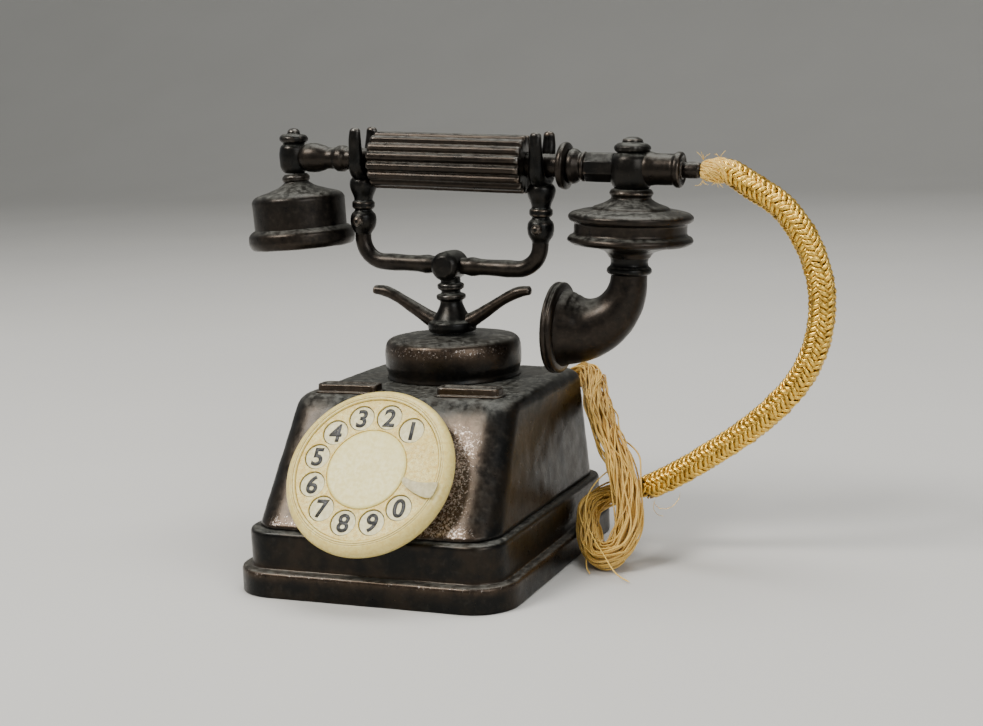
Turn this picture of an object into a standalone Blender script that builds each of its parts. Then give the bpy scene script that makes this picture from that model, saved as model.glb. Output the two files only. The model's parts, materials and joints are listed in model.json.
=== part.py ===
"""A miniature cradle telephone in cast metal, with a plastic dial and a braided cord.

Metres, +Z up. The origin is the middle of the base's underside. The dial faces -Y
and the handset lies along X. Each piece is its own object in "miniature_telephone".
"""

import math

import bmesh
import bpy
from mathutils import Vector

# Clearances between pieces
GAP = 0.0003
FIT = 0.00015
MERGE = 0.000001

# Plinth: a bottom flange and a straight band, with a ledge on top
FLANGE_HALF_X = 0.024
FLANGE_HALF_Y = 0.0295
FLANGE_CORNER = 0.007
FLANGE_HEIGHT = 0.0043
FLANGE_ROUND = 0.0014
BAND_INSET = 0.0017
PLINTH_HEIGHT = 0.0105
LEDGE_ROUND = 0.0009
PLINTH_WALL = 0.0025
PLINTH_INNER_CORNER = 0.0095

# Bottom plate and its four screws
PLATE_THICKNESS = 0.0012
PLATE_LIP = 0.0017
SCREW_INSET = 0.0051
SCREW_HEAD_RADIUS = 0.0014
SCREW_SHANK_RADIUS = 0.0006
SCREW_LENGTH = 0.0062
SCREW_SUNK = 0.00015

# Case: a hollow block whose front face slopes back to carry the dial
CASE_FOOT_INSET = 0.0012
CASE_CORNER = 0.0055
CASE_TOP_CORNER = 0.0042
CASE_TOP_Z = 0.030
CASE_SIDE_LEAN = 0.0014
CASE_BACK_LEAN = 0.0020
CASE_ROUND = 0.0018
CASE_WALL = 0.0016
DIAL_SLOPE = math.radians(53)

# Low oblong pads on the front of the case top
PAD_LENGTH = 0.0114
PAD_WIDTH = 0.0040
PAD_HEIGHT = 0.0015
PAD_CUT = 0.0012
PAD_INNER_X = 0.0052
PAD_FRONT_MARGIN = 0.0002

# Drum and column on the case top
COLUMN_Y = 0.0110
DRUM_RADIUS = 0.0120
DRUM_HEIGHT = 0.0068
DRUM_ROUND = 0.0018
DRUM_DOME = 0.0005
STUD_RADIUS = 0.0012
STUD_LENGTH = 0.0115
NUT_RADIUS = 0.0027
NUT_HEIGHT = 0.0017
COLUMN_HEIGHT = 0.0115
COLUMN_FOOT_RADIUS = 0.0042
COLUMN_NECK_RADIUS = 0.0016
BOSS_RADIUS = 0.00275
BOSS_LENGTH = 0.0064
BOSS_BORE_PLAY = 0.0003

# Horns that rise on both sides of the column
HORN_REACH = 0.0142
HORN_ROOT_X = 0.0032
HORN_ROOT_RISE = 0.0023
HORN_TIP_DROP = 0.00445
HORN_ROOT_THICK = 0.0014
HORN_TIP_THICK = 0.0010

# Yoke: a bent rod, a baluster on each end, and a fork on each baluster
YOKE_TILT = math.radians(3)
ROD_RADIUS = 0.00145
ARM_HALF_SPAN = 0.01675
ROD_BEND = 0.0042
SHAFT_RISE = 0.0179
POST_BALL_RADIUS = 0.0023
POST_BALL_DROP = 0.0108
POST_BEAD_RADIUS = 0.0019
POST_BEAD_DROP = 0.0082
POST_FLARE_RADIUS = 0.0023
BUTTON_RADIUS = 0.0010
BUTTON_HEIGHT = 0.0006
FORK_WALL = 0.0014
FORK_WIDTH = 0.0030
FORK_TIP_RISE = 0.0047
FORK_ROUND = 0.0005

# Handset: everything lies on or hangs from the shaft, along X
SHAFT_RADIUS = 0.0020
GRIP_RADIUS = 0.0050
GRIP_RIBS = 16
GRIP_RIB_DEPTH = 0.0005
KNUCKLE_L_X = -ARM_HALF_SPAN - 0.01385
KNUCKLE_L_RADIUS = 0.0024
KNUCKLE_L_TOP = 0.0021
KNUCKLE_L_DROP = 0.0028
ELBOW_BALL_X = KNUCKLE_L_X + 0.0038
ELBOW_BALL_RADIUS = 0.0026
FINIAL_RADIUS = 0.0029
RECEIVER_TILT = math.radians(-6)
RECEIVER_RADIUS = 0.0083
RECEIVER_TOP_DROP = 0.0070
RECEIVER_CUP_DROP = 0.0128
RECEIVER_CAP_RADIUS = 0.0095
RECEIVER_CAP_HEIGHT = 0.0034
COLLAR_X = ARM_HALF_SPAN + 0.00355
COLLAR_RADIUS = 0.0040
COLLAR_WIDTH = 0.0013
SLEEVE_END_X = COLLAR_X + 0.0044
SLEEVE_RADIUS = 0.0030
FACET_RADIUS = 0.0025
KNUCKLE_R_X = ARM_HALF_SPAN + 0.01585
KNUCKLE_R_RADIUS = 0.0037
KNUCKLE_R_TOP = 0.0024
KNUCKLE_R_DROP = 0.0034
KNOB_RADIUS = 0.0030
TUBE_END_X = KNUCKLE_R_X + 0.0087
TUBE_RADIUS = 0.0027
NUB_END_X = TUBE_END_X + 0.0028
NUB_RADIUS = 0.0014
CAPSULE_RADIUS = 0.0105
CAPSULE_TOP_DROP = 0.0078
CAPSULE_BOTTOM_DROP = 0.0122
CAPSULE_GROOVE = 0.0011
HORN_NECK_DROP = 0.0165
MOUTH_NECK_RADIUS = 0.0030
MOUTH_BEND = 0.0092
MOUTH_ABOVE_CASE = 0.0098
MOUTH_FACE_X = KNUCKLE_R_X - 0.0132
MOUTH_END_RADIUS = 0.0068
MOUTH_WALL = 0.0010
RIM_RADIUS = 0.0079
RIM_WIDTH = 0.0019

# Dial: a fixed number plate, a turning finger wheel, and a finger stop
DIAL_ALONG_SLOPE = 0.0090
SEAT_HEIGHT = 0.0013
SPRING_WELL_RADIUS = 0.0068
SPRING_WELL_DEPTH = 0.0008
PLATE_RADIUS = 0.0142
PLATE_BASE = 0.0019
PLATE_FACE = 0.00475
PLATE_RIM = 0.0054
RIM_FLAT = 0.0125
WHEEL_RADIUS = 0.0121
WHEEL_THICKNESS = 0.00035
HOLE_COUNT = 10
HOLE_CIRCLE = 0.0093
HOLE_RADIUS = 0.0022
HOLE_PITCH = math.radians(30)
FIRST_HOLE = math.radians(49)
CAP_RADIUS = 0.0067
CAP_RECESS = 0.0002
SPINDLE_RADIUS = 0.0011
SPINDLE_INSIDE = 0.0062
CLIP_RADIUS = 0.0023
CLIP_THICKNESS = 0.0006
STOP_ANGLE = math.radians(-13)
STOP_INNER = 0.0073
STOP_OUTER = 0.0132
STOP_INNER_HALF = math.radians(5)
STOP_OUTER_HALF = math.radians(8.5)
STOP_THICKNESS = 0.0004
SPRING_TURNS = 2.5
SPRING_INNER = 0.0021
SPRING_WIRE = 0.00016

# Cord: a braided sleeve from the handset, then its bare thread core into the case
BRAID_RADIUS = 0.0022
THREAD_RADIUS = 0.0019
GLAND_X = 0.0130
GLAND_Z = 0.0250
GLAND_RADIUS = 0.0026
GLAND_LENGTH = 0.0016
# Its route: from the nub's end, then from the flange's side, then from the plinth's back corner
HANG_ROUTE = (
    (0.0091, 0, 0.0625),
    (0.0142, 0, 0.0590),
    (0.0181, 0, 0.0535),
    (0.0204, 0, 0.0464),
)
BRAID_ROUTE = (
    (0.0403, 0, 0.0391),
    (0.0380, 0, 0.0325),
    (0.0339, 0, 0.0271),
    (0.0279, 0, 0.0218),
    (0.0202, 0, 0.0166),
    (0.0145, 0, 0.0132),
    (0.0105, 0, 0.0113),
)
THREAD_ROUTE = (
    (0.0052, 0.0021, 0.0099),
    (0.0024, 0.0015, 0.0088),
    (0.0009, -0.0016, 0.0072),
    (0.0022, -0.0060, 0.0048),
    (0.0046, -0.0100, 0.0029),
    (0.0072, -0.0124, 0.0025),
    (0.0091, -0.0108, 0.0036),
    (0.0101, -0.0086, 0.0068),
    (0.0092, -0.0055, 0.0107),
    (0.0065, -0.0012, 0.0154),
    (0.0027, 0.0038, 0.0202),
)
BEHIND_ROUTE = (
    (-0.0008, -0.0087, 0.0238),
    (-0.0032, -0.0033, 0.0264),
    (-0.0062, 0.0013, 0.0274),
)

# Fineness of round shapes
STEPS = 24
FINE_STEPS = 32
SMALL_STEPS = 12
CORNER_POINTS = 4
ARC_POINTS = 3
MOUTH_SIDES = 6

FINISHES = {
    "bronze": ((0.055, 0.045, 0.038), 0.9, 0.42),
    "ivory": ((0.80, 0.72, 0.45), 0.0, 0.35),
    "black": ((0.02, 0.02, 0.02), 0.0, 0.5),
    "steel": ((0.45, 0.45, 0.46), 1.0, 0.35),
    "gold": ((0.72, 0.50, 0.16), 0.8, 0.35),
    "thread": ((0.75, 0.56, 0.20), 0.0, 0.8),
}

# Heights and places worked out from the sizes above
BAND_HALF_X = FLANGE_HALF_X - BAND_INSET
BAND_HALF_Y = FLANGE_HALF_Y - BAND_INSET
BAND_CORNER = FLANGE_CORNER - BAND_INSET
FOOT_Z = PLINTH_HEIGHT + GAP
FOOT_HALF_X = BAND_HALF_X - CASE_FOOT_INSET
FOOT_HALF_Y = BAND_HALF_Y - CASE_FOOT_INSET
TOP_FRONT_Y = -FOOT_HALF_Y + (CASE_TOP_Z - FOOT_Z) / math.tan(DIAL_SLOPE)
DRUM_Z = CASE_TOP_Z + GAP
COLUMN_Z = DRUM_Z + DRUM_HEIGHT + DRUM_DOME + GAP
PIVOT_Z = COLUMN_Z + COLUMN_HEIGHT
BACK_LEAN = math.atan(CASE_BACK_LEAN / (CASE_TOP_Z - FOOT_Z))
BACK_LEAN_OUT = Vector((0, math.cos(BACK_LEAN), math.sin(BACK_LEAN)))
MOUTH_DROP = PIVOT_Z + SHAFT_RISE - CASE_TOP_Z - MOUTH_ABOVE_CASE
SLOT_RADIUS = SHAFT_RADIUS + FIT
FORK_DROP = SLOT_RADIUS + FORK_WALL
SEAT_RADIUS = DIAL_ALONG_SLOPE - GAP
GRIP_HALF_LENGTH = ARM_HALF_SPAN - max(POST_FLARE_RADIUS, FORK_WIDTH / 2) - GAP
WHEEL_BASE = PLATE_FACE + FIT
WHEEL_TOP = WHEEL_BASE + WHEEL_THICKNESS


# ---------------------------------------------------------------- shared tools


def clear_scene():
    for obj in list(bpy.data.objects):
        bpy.data.objects.remove(obj, do_unlink=True)


def collection(name):
    made = bpy.data.collections.new(name)
    bpy.context.scene.collection.children.link(made)
    return made


def material(name, finish):
    colour, metallic, roughness = FINISHES[finish]
    made = bpy.data.materials.new(name)
    made.use_nodes = True
    shader = made.node_tree.nodes["Principled BSDF"]
    shader.inputs["Base Color"].default_value = (*colour, 1)
    shader.inputs["Metallic"].default_value = metallic
    shader.inputs["Roughness"].default_value = roughness
    return made


def place(obj, at=(0, 0, 0), turn=(0, 0, 0), parent=None):
    obj.location = at
    obj.rotation_euler = turn
    obj.parent = parent
    return obj


def part(name, data, finish, at=(0, 0, 0), turn=(0, 0, 0), parent=None):
    """A named piece of the telephone, with a material of its own."""
    obj = bpy.data.objects.new(name, data)
    PARTS.objects.link(obj)
    obj.data.materials.clear()
    obj.data.materials.append(material(f"{name}_{finish}", finish))
    return place(obj, at, turn, parent)


def cutter(name, data, at=(0, 0, 0), turn=(0, 0, 0), parent=None):
    obj = bpy.data.objects.new(name, data)
    CUTTERS.objects.link(obj)
    obj.hide_render = True
    obj.display_type = "WIRE"
    return place(obj, at, turn, parent)


def cut(obj, tool):
    change = obj.modifiers.new(f"Cut {tool.name}", "BOOLEAN")
    change.operation = "DIFFERENCE"
    change.object = tool


def join(obj, tool):
    change = obj.modifiers.new(f"Join {tool.name}", "BOOLEAN")
    change.operation = "UNION"
    change.object = tool


def frame(name, at, turn=(0, 0, 0), parent=None):
    empty = bpy.data.objects.new(name, None)
    PARTS.objects.link(empty)
    return place(empty, at, turn, parent)


def arc(centre, radius, start, end, count=ARC_POINTS):
    """Points of an arc in a (radius, height) profile, with angles in degrees."""
    angles = [math.radians(start + (end - start) * i / count) for i in range(count + 1)]
    return [
        (centre[0] + radius * math.cos(a), centre[1] + radius * math.sin(a))
        for a in angles
    ]


def profile_mesh(name, points):
    """A profile's edges in the XZ plane. One that stays off the axis is closed."""
    mesh = bpy.data.meshes.new(name)
    count = len(points)
    edges = [(i, i + 1) for i in range(count - 1)]
    if points[0][0] > 0:
        edges.append((count - 1, 0))
    mesh.from_pydata([(r, 0, z) for r, z in points], edges, [])
    return mesh


def spin(obj, steps):
    screw = obj.modifiers.new("Turn", "SCREW")
    screw.steps = steps
    screw.render_steps = steps
    screw.use_merge_vertices = True
    screw.merge_threshold = MERGE
    return obj


def turned(name, points, finish, steps=STEPS, **where):
    """A piece turned about its own Z axis from a profile that runs down its outside."""
    return spin(part(name, profile_mesh(name, points), finish, **where), steps)


def turned_cutter(name, points, steps=STEPS, **where):
    return spin(cutter(name, profile_mesh(name, points), **where), steps)


def rod_profile(radius, top, bottom):
    return [(0, top), (radius, top), (radius, bottom), (0, bottom)]


def rounded_ring(half_x, front, back, corner, z):
    """Points round a rectangle with round corners, at one height."""
    centres = (
        (half_x - corner, back - corner, 0),
        (-half_x + corner, back - corner, 90),
        (-half_x + corner, front + corner, 180),
        (half_x - corner, front + corner, 270),
    )
    points = []
    for x, y, start in centres:
        points += [(*p, z) for p in arc((x, y), corner, start, start + 90, CORNER_POINTS)]
    return points


def lofted_mesh(name, rings):
    """A closed solid through rings of equal length, lowest ring first."""
    bm = bmesh.new()
    loops = [[bm.verts.new(p) for p in ring] for ring in rings]
    for low, high in zip(loops, loops[1:]):
        for i in range(len(low)):
            j = (i + 1) % len(low)
            bm.faces.new((low[i], low[j], high[j], high[i]))
    bm.faces.new(list(reversed(loops[0])))
    bm.faces.new(loops[-1])
    mesh = bpy.data.meshes.new(name)
    bm.to_mesh(mesh)
    bm.free()
    return mesh


def soften(obj, angle=35):
    """Smooth shading, with edges sharper than this angle left crisp."""
    obj.data.shade_smooth()
    obj.data.set_sharp_from_angle(angle=math.radians(angle))


def smooth_route(points, spacing):
    """Evenly spaced points on a smooth curve through a route."""
    fine = []
    ends = [2 * Vector(points[0]) - Vector(points[1])]
    ends += [Vector(p) for p in points]
    ends.append(2 * ends[-1] - ends[-2])
    for a, b, c, d in zip(ends, ends[1:], ends[2:], ends[3:]):
        for step in range(20):
            t = step / 20
            fine.append(
                0.5 * (2 * b + (c - a) * t + (2 * a - 5 * b + 4 * c - d) * t**2
                       + (3 * b - a - 3 * c + d) * t**3)
            )
    fine.append(ends[-2])
    length = sum((q - p).length for p, q in zip(fine, fine[1:]))
    count = max(2, round(length / spacing))
    wanted = [length * i / count for i in range(count + 1)]
    made, travelled, k = [], 0.0, 0
    for target in wanted:
        while k < len(fine) - 2 and travelled + (fine[k + 1] - fine[k]).length < target:
            travelled += (fine[k + 1] - fine[k]).length
            k += 1
        step = fine[k + 1] - fine[k]
        share = min(1, (target - travelled) / step.length)
        made.append(fine[k] + share * step)
    return made


def tube_curve(name, points, radius, resolution=2, shares=None):
    """A round rod along points, with closed ends. Shares scale its radius at each point."""
    curve = bpy.data.curves.new(name, "CURVE")
    curve.dimensions = "3D"
    curve.bevel_depth = radius
    curve.bevel_resolution = resolution
    curve.use_fill_caps = True
    spline = curve.splines.new("POLY")
    spline.points.add(len(points) - 1)
    shares = shares or [1] * len(points)
    for knot, point, share in zip(spline.points, points, shares):
        knot.co = (*point, 1)
        knot.radius = share
    return curve


def tube(name, points, radius, finish, resolution=2, shares=None, **where):
    return part(name, tube_curve(name, points, radius, resolution, shares), finish, **where)


def outline_curve(name, outlines, thickness):
    """A flat shape inside closed outlines, as thick as given about its own XY plane."""
    curve = bpy.data.curves.new(name, "CURVE")
    curve.dimensions = "2D"
    curve.fill_mode = "BOTH"
    curve.extrude = thickness / 2
    for points in outlines:
        spline = curve.splines.new("POLY")
        spline.points.add(len(points) - 1)
        spline.use_cyclic_u = True
        for knot, (x, y) in zip(spline.points, points):
            knot.co = (x, y, 0, 1)
    return curve


def meshed(curve):
    """The mesh of a curve, with its caps welded on."""
    holder = bpy.data.objects.new(curve.name, curve)
    bpy.context.scene.collection.objects.link(holder)
    graph = bpy.context.evaluated_depsgraph_get()
    mesh = bpy.data.meshes.new_from_object(holder.evaluated_get(graph))
    mesh.name = curve.name
    bpy.data.objects.remove(holder)
    bm = bmesh.new()
    bm.from_mesh(mesh)
    bmesh.ops.remove_doubles(bm, verts=bm.verts, dist=MERGE)
    bmesh.ops.recalc_face_normals(bm, faces=bm.faces)
    bm.to_mesh(mesh)
    bm.free()
    return mesh


def round_edges(obj, width, segments=2, angle=40):
    bevel = obj.modifiers.new("Round edges", "BEVEL")
    bevel.width = width
    bevel.segments = segments
    bevel.limit_method = "ANGLE"
    bevel.angle_limit = math.radians(angle)


def cylinder_mesh(name, radius, length, sides, top_radius=None):
    """A cylinder or cone about Z, with its middle at the origin."""
    bm = bmesh.new()
    bmesh.ops.create_cone(
        bm, cap_ends=True, segments=sides, radius1=radius,
        radius2=radius if top_radius is None else top_radius, depth=length,
    )
    mesh = bpy.data.meshes.new(name)
    bm.to_mesh(mesh)
    bm.free()
    return mesh


# ---------------------------------------------------------------- base and case


def plinth_level(inset, corner_inset, z):
    return rounded_ring(
        FLANGE_HALF_X - inset, -FLANGE_HALF_Y + inset, FLANGE_HALF_Y - inset,
        FLANGE_CORNER - corner_inset, z,
    )


def screw_places():
    x = FLANGE_HALF_X - SCREW_INSET
    y = FLANGE_HALF_Y - SCREW_INSET
    return [(-x, -y), (x, -y), (-x, y), (x, y)]


def make_plinth():
    levels = [(0, 0)]
    levels += [
        (FLANGE_ROUND - r, z)
        for r, z in arc((0, FLANGE_HEIGHT - FLANGE_ROUND), FLANGE_ROUND, 0, 90, 3)
    ]
    levels += [(BAND_INSET, FLANGE_HEIGHT)]
    levels += [
        (BAND_INSET + LEDGE_ROUND - r, z)
        for r, z in arc((0, PLINTH_HEIGHT - LEDGE_ROUND), LEDGE_ROUND, 0, 90, 2)
    ]
    rings = [plinth_level(inset, inset, z) for inset, z in levels]
    body = part("plinth", lofted_mesh("plinth", rings), "bronze")
    inner = [
        rounded_ring(
            BAND_HALF_X - PLINTH_WALL, -BAND_HALF_Y + PLINTH_WALL,
            BAND_HALF_Y - PLINTH_WALL, PLINTH_INNER_CORNER, z,
        )
        for z in (-GAP, PLINTH_HEIGHT + GAP)
    ]
    cut(body, cutter("plinth_hollow", lofted_mesh("plinth_hollow", inner)))
    recess = [plinth_level(PLATE_LIP, PLATE_LIP, z) for z in (-GAP, PLATE_THICKNESS + GAP)]
    cut(body, cutter("plate_recess", lofted_mesh("plate_recess", recess)))
    for number, (x, y) in enumerate(screw_places(), 1):
        hole = cylinder_mesh(
            f"screw_hole_{number}", SCREW_SHANK_RADIUS + FIT,
            2 * (SCREW_LENGTH + GAP), SMALL_STEPS,
        )
        cut(body, cutter(f"screw_hole_{number}", hole, at=(x, y, 0)))
    soften(body)


def screw_head(extra):
    """The countersunk head's profile, grown by a clearance, with its face downwards."""
    cone = SCREW_HEAD_RADIUS - SCREW_SHANK_RADIUS
    return [
        (SCREW_SHANK_RADIUS + extra, SCREW_SUNK + cone),
        (SCREW_HEAD_RADIUS + extra, SCREW_SUNK),
    ]


def make_bottom():
    inset = PLATE_LIP + FIT
    rings = [plinth_level(inset, inset, z) for z in (0, PLATE_THICKNESS)]
    plate = part("bottom_plate", lofted_mesh("bottom_plate", rings), "steel")
    for number, (x, y) in enumerate(screw_places(), 1):
        seat = [(0, PLATE_THICKNESS + GAP), (SCREW_SHANK_RADIUS + FIT, PLATE_THICKNESS + GAP)]
        seat += screw_head(FIT) + [(SCREW_HEAD_RADIUS + FIT, -GAP), (0, -GAP)]
        cut(plate, turned_cutter(f"screw_seat_{number}", seat, SMALL_STEPS, at=(x, y, 0)))
        shape = [(0, SCREW_LENGTH), (SCREW_SHANK_RADIUS, SCREW_LENGTH)]
        shape += screw_head(0) + [(0, SCREW_SUNK)]
        screw = turned(f"bottom_screw_{number}", shape, "steel", SMALL_STEPS, at=(x, y, 0))
        slot = bpy.data.meshes.new(f"screw_slot_{number}")
        bm = bmesh.new()
        bmesh.ops.create_cube(bm, size=SCREW_SHANK_RADIUS)
        bmesh.ops.scale(bm, vec=(6, 0.6, 1), verts=bm.verts)
        bm.to_mesh(slot)
        bm.free()
        cut(screw, cutter(f"screw_slot_{number}", slot, at=(x, y, SCREW_SUNK)))


def case_level(z, inset, front_inset, corner_cut):
    share = (z - FOOT_Z) / (CASE_TOP_Z - FOOT_Z)
    corner = CASE_CORNER + share * (CASE_TOP_CORNER - CASE_CORNER) - corner_cut
    return rounded_ring(
        FOOT_HALF_X - share * CASE_SIDE_LEAN - inset,
        -FOOT_HALF_Y + (z - FOOT_Z) / math.tan(DIAL_SLOPE) + front_inset,
        FOOT_HALF_Y - share * CASE_BACK_LEAN - inset,
        corner, z,
    )


def make_case():
    rings = [case_level(FOOT_Z, 0, 0, 0)]
    for drop, z in arc((0, CASE_TOP_Z - CASE_ROUND), CASE_ROUND, 0, 90, 4):
        inset = CASE_ROUND - drop
        rings.append(case_level(z, inset, inset * math.sin(DIAL_SLOPE) / 2, inset / 2))
    shell = part("case_shell", lofted_mesh("case_shell", rings), "bronze")
    front_wall = CASE_WALL / math.sin(DIAL_SLOPE)
    hollow = [
        case_level(z, CASE_WALL, front_wall, CASE_WALL / 2)
        for z in (FOOT_Z - GAP, CASE_TOP_Z - CASE_WALL)
    ]
    cut(shell, cutter("case_hollow", lofted_mesh("case_hollow", hollow)))
    stud_hole = cylinder_mesh("stud_hole", STUD_RADIUS + FIT, 4 * CASE_WALL, SMALL_STEPS)
    cut(shell, cutter("stud_hole", stud_hole, at=(0, COLUMN_Y, CASE_TOP_Z)))
    spindle_hole = cylinder_mesh("spindle_hole", SPINDLE_RADIUS + FIT, 6 * CASE_WALL, SMALL_STEPS)
    cut(shell, cutter("spindle_hole", spindle_hole, parent=DIAL))
    gland_hole = cylinder_mesh("gland_hole", GLAND_RADIUS - GLAND_LENGTH / 2, 6 * CASE_WALL, SMALL_STEPS)
    cut(shell, cutter("gland_hole", gland_hole, at=(GLAND_X, gland_y(), GLAND_Z), turn=BACKWARD))
    soften(shell)


def make_pads():
    for side, sign in (("left", -1), ("right", 1)):
        length, width, cut_corner = PAD_LENGTH / 2, PAD_WIDTH / 2, PAD_CUT
        points = [
            (length, -width + cut_corner), (length, width - cut_corner),
            (length - cut_corner, width), (-length + cut_corner, width),
            (-length, width - cut_corner), (-length, -width + cut_corner),
            (-length + cut_corner, -width), (length - cut_corner, -width),
        ]
        name = f"top_pad_{side}"
        y = TOP_FRONT_Y + CASE_ROUND + PAD_FRONT_MARGIN + width
        centre = (sign * (PAD_INNER_X + length), y, CASE_TOP_Z + GAP + PAD_HEIGHT / 2)
        pad = part(name, meshed(outline_curve(name, [points], PAD_HEIGHT)), "bronze", at=centre)
        round_edges(pad, PAD_HEIGHT / 4, segments=1)


def gland_y():
    share = (GLAND_Z - FOOT_Z) / (CASE_TOP_Z - FOOT_Z)
    return FOOT_HALF_Y - share * CASE_BACK_LEAN


def make_gland():
    turn = (BACKWARD[0] + BACK_LEAN, 0, 0)
    shape = [
        (GLAND_RADIUS - GLAND_LENGTH / 3, GAP + GLAND_LENGTH),
        (GLAND_RADIUS, GAP + GLAND_LENGTH / 2),
        (GLAND_RADIUS, GAP),
        (GLAND_RADIUS - GLAND_LENGTH / 2, GAP),
        (GLAND_RADIUS - GLAND_LENGTH / 2, GAP + GLAND_LENGTH),
    ]
    turned("cord_gland", shape, "bronze", at=(GLAND_X, gland_y(), GLAND_Z), turn=turn)


# ---------------------------------------------------------------- drum, column and horns


def make_drum():
    bore = STUD_RADIUS + FIT
    top = DRUM_HEIGHT
    shape = [(bore, top + DRUM_DOME)]
    shape += [(DRUM_RADIUS * 0.55, top + DRUM_DOME * 0.8)]
    shape += reversed(arc((DRUM_RADIUS - DRUM_ROUND, top - DRUM_ROUND), DRUM_ROUND, 0, 90))
    shape += [(DRUM_RADIUS, FIT), (DRUM_RADIUS - FIT, 0), (bore, 0)]
    turned("drum", shape, "bronze", FINE_STEPS, at=(0, COLUMN_Y, DRUM_Z))


def column_profile():
    foot, neck = COLUMN_FOOT_RADIUS, COLUMN_NECK_RADIUS
    ring = neck * 1.6
    top = COLUMN_HEIGHT - BOSS_RADIUS
    points = [(0, COLUMN_HEIGHT), (neck, COLUMN_HEIGHT), (neck, top - 0.0002)]
    points += arc((ring - 0.0006, top - 0.0010), 0.0006, 80, -80, 4)
    points += [(neck, top - 0.0018)]
    points += arc((ring - 0.0003, top - 0.0026), 0.0005, 80, -80, 4)
    points += [(neck, top - 0.0034)]
    points += [(neck * 1.25, top - 0.0046), (neck * 1.6, top - 0.0060)]
    points += [(foot * 0.78, 0.0020), (foot * 0.93, 0.0016)]
    points += [(foot, 0.0011), (foot, 0.0003), (foot - 0.0003, 0)]
    points += [(STUD_RADIUS, 0), (STUD_RADIUS, -STUD_LENGTH), (0, -STUD_LENGTH)]
    return points


def make_column():
    at = (0, COLUMN_Y, COLUMN_Z)
    column = turned("column", column_profile(), "bronze", 24, at=at)
    pivot = (0, COLUMN_Y, PIVOT_Z)
    edge = BOSS_RADIUS * 0.15
    barrel = [
        (0, BOSS_LENGTH / 2), (BOSS_RADIUS - edge, BOSS_LENGTH / 2),
        (BOSS_RADIUS, BOSS_LENGTH / 2 - edge), (BOSS_RADIUS, edge - BOSS_LENGTH / 2),
        (BOSS_RADIUS - edge, -BOSS_LENGTH / 2), (0, -BOSS_LENGTH / 2),
    ]
    join(column, turned_cutter("boss_barrel", barrel, 24, at=pivot, turn=BACKWARD))
    bore = cylinder_mesh("boss_bore", ROD_RADIUS + BOSS_BORE_PLAY, 4 * BOSS_RADIUS, SMALL_STEPS)
    cut(column, cutter("boss_bore", bore, at=pivot, turn=(0, math.pi / 2, 0)))


def make_nut():
    z = CASE_TOP_Z - CASE_WALL - GAP - NUT_HEIGHT / 2
    nut = part("column_nut", cylinder_mesh("column_nut", NUT_RADIUS, NUT_HEIGHT, 6), "steel",
               at=(0, COLUMN_Y, z))
    bore = cylinder_mesh("nut_bore", STUD_RADIUS + FIT, 2 * NUT_HEIGHT, SMALL_STEPS)
    cut(nut, cutter("nut_bore", bore, at=(0, COLUMN_Y, z)))


def make_horns():
    """Slender arms that leave the column's foot, rise, and level out at their tips."""
    root_z = COLUMN_Z + HORN_ROOT_RISE
    tip_z = PIVOT_Z - HORN_TIP_DROP
    start = COLUMN_FOOT_RADIUS + GAP
    rise = tip_z - root_z
    reach = HORN_REACH - start
    for side, sign in (("left", -1), ("right", 1)):
        route = [
            (sign * (start + reach * along), COLUMN_Y, root_z + rise * up)
            for along, up in ((0, 0.02), (0.30, 0.38), (0.62, 0.76), (0.86, 0.93), (1, 1))
        ]
        points = smooth_route(route, 0.0009)
        last = len(points) - 1
        tip_share = HORN_TIP_THICK / HORN_ROOT_THICK
        shares = [1 + (tip_share - 1) * i / last for i in range(last + 1)]
        shares[-2] *= 0.93
        shares[-1] *= 0.6
        tube(f"horn_{side}", points, HORN_ROOT_THICK, "bronze", 2, shares)


# ---------------------------------------------------------------- yoke


def rod_points():
    """Half of the yoke's rod, from the middle of the crossbar to the foot of a post."""
    low, top = -SHAFT_RISE, -POST_BALL_DROP - POST_BALL_RADIUS - FIT
    corner = (ARM_HALF_SPAN - ROD_BEND, low + ROD_BEND)
    points = [(0, low)]
    points += arc(corner, ROD_BEND, -90, 0, 7)
    points.append((ARM_HALF_SPAN, top))
    return points


def make_rod():
    right = [(x, 0, z) for x, z in rod_points()]
    left = [(-x, y, z) for x, y, z in reversed(right[1:])]
    rod = tube("yoke_rod", left + right, ROD_RADIUS, "bronze", 4, parent=SHAFT)
    return rod


def post_profile():
    """From the flare under the fork, past a bead, to the ball on the rod's end."""
    top = -FORK_DROP - FIT
    ball = -POST_BALL_DROP
    bead = -POST_BEAD_DROP
    neck = ROD_RADIUS * 1.0
    points = [(0, top), (POST_FLARE_RADIUS - 0.0003, top), (POST_FLARE_RADIUS, top - 0.0004)]
    points += [(POST_FLARE_RADIUS, top - 0.0012), (neck * 1.5, top - 0.0024)]
    points += [(neck, bead + 0.0007)]
    points += arc((POST_BEAD_RADIUS - 0.0005, bead), 0.0005, 80, -80, 4)
    points += arc((0, ball), POST_BALL_RADIUS, 50, -56, 6)
    points += [(0, points[-1][1])]
    return points


def make_posts():
    for side, sign in (("left", -1), ("right", 1)):
        at = (sign * ARM_HALF_SPAN, 0, 0)
        turned(f"post_{side}", post_profile(), "bronze", 20, at=at, parent=SHAFT)
        front = -POST_BALL_RADIUS - GAP / 2
        shape = [(0, BUTTON_HEIGHT), (BUTTON_RADIUS * 0.7, BUTTON_HEIGHT),
                 (BUTTON_RADIUS, BUTTON_HEIGHT * 0.6), (BUTTON_RADIUS, 0), (0, 0)]
        turned(f"post_button_{side}", shape, "bronze", SMALL_STEPS, turn=FORWARD,
               at=(sign * ARM_HALF_SPAN, front, -POST_BALL_DROP), parent=SHAFT)


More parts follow.
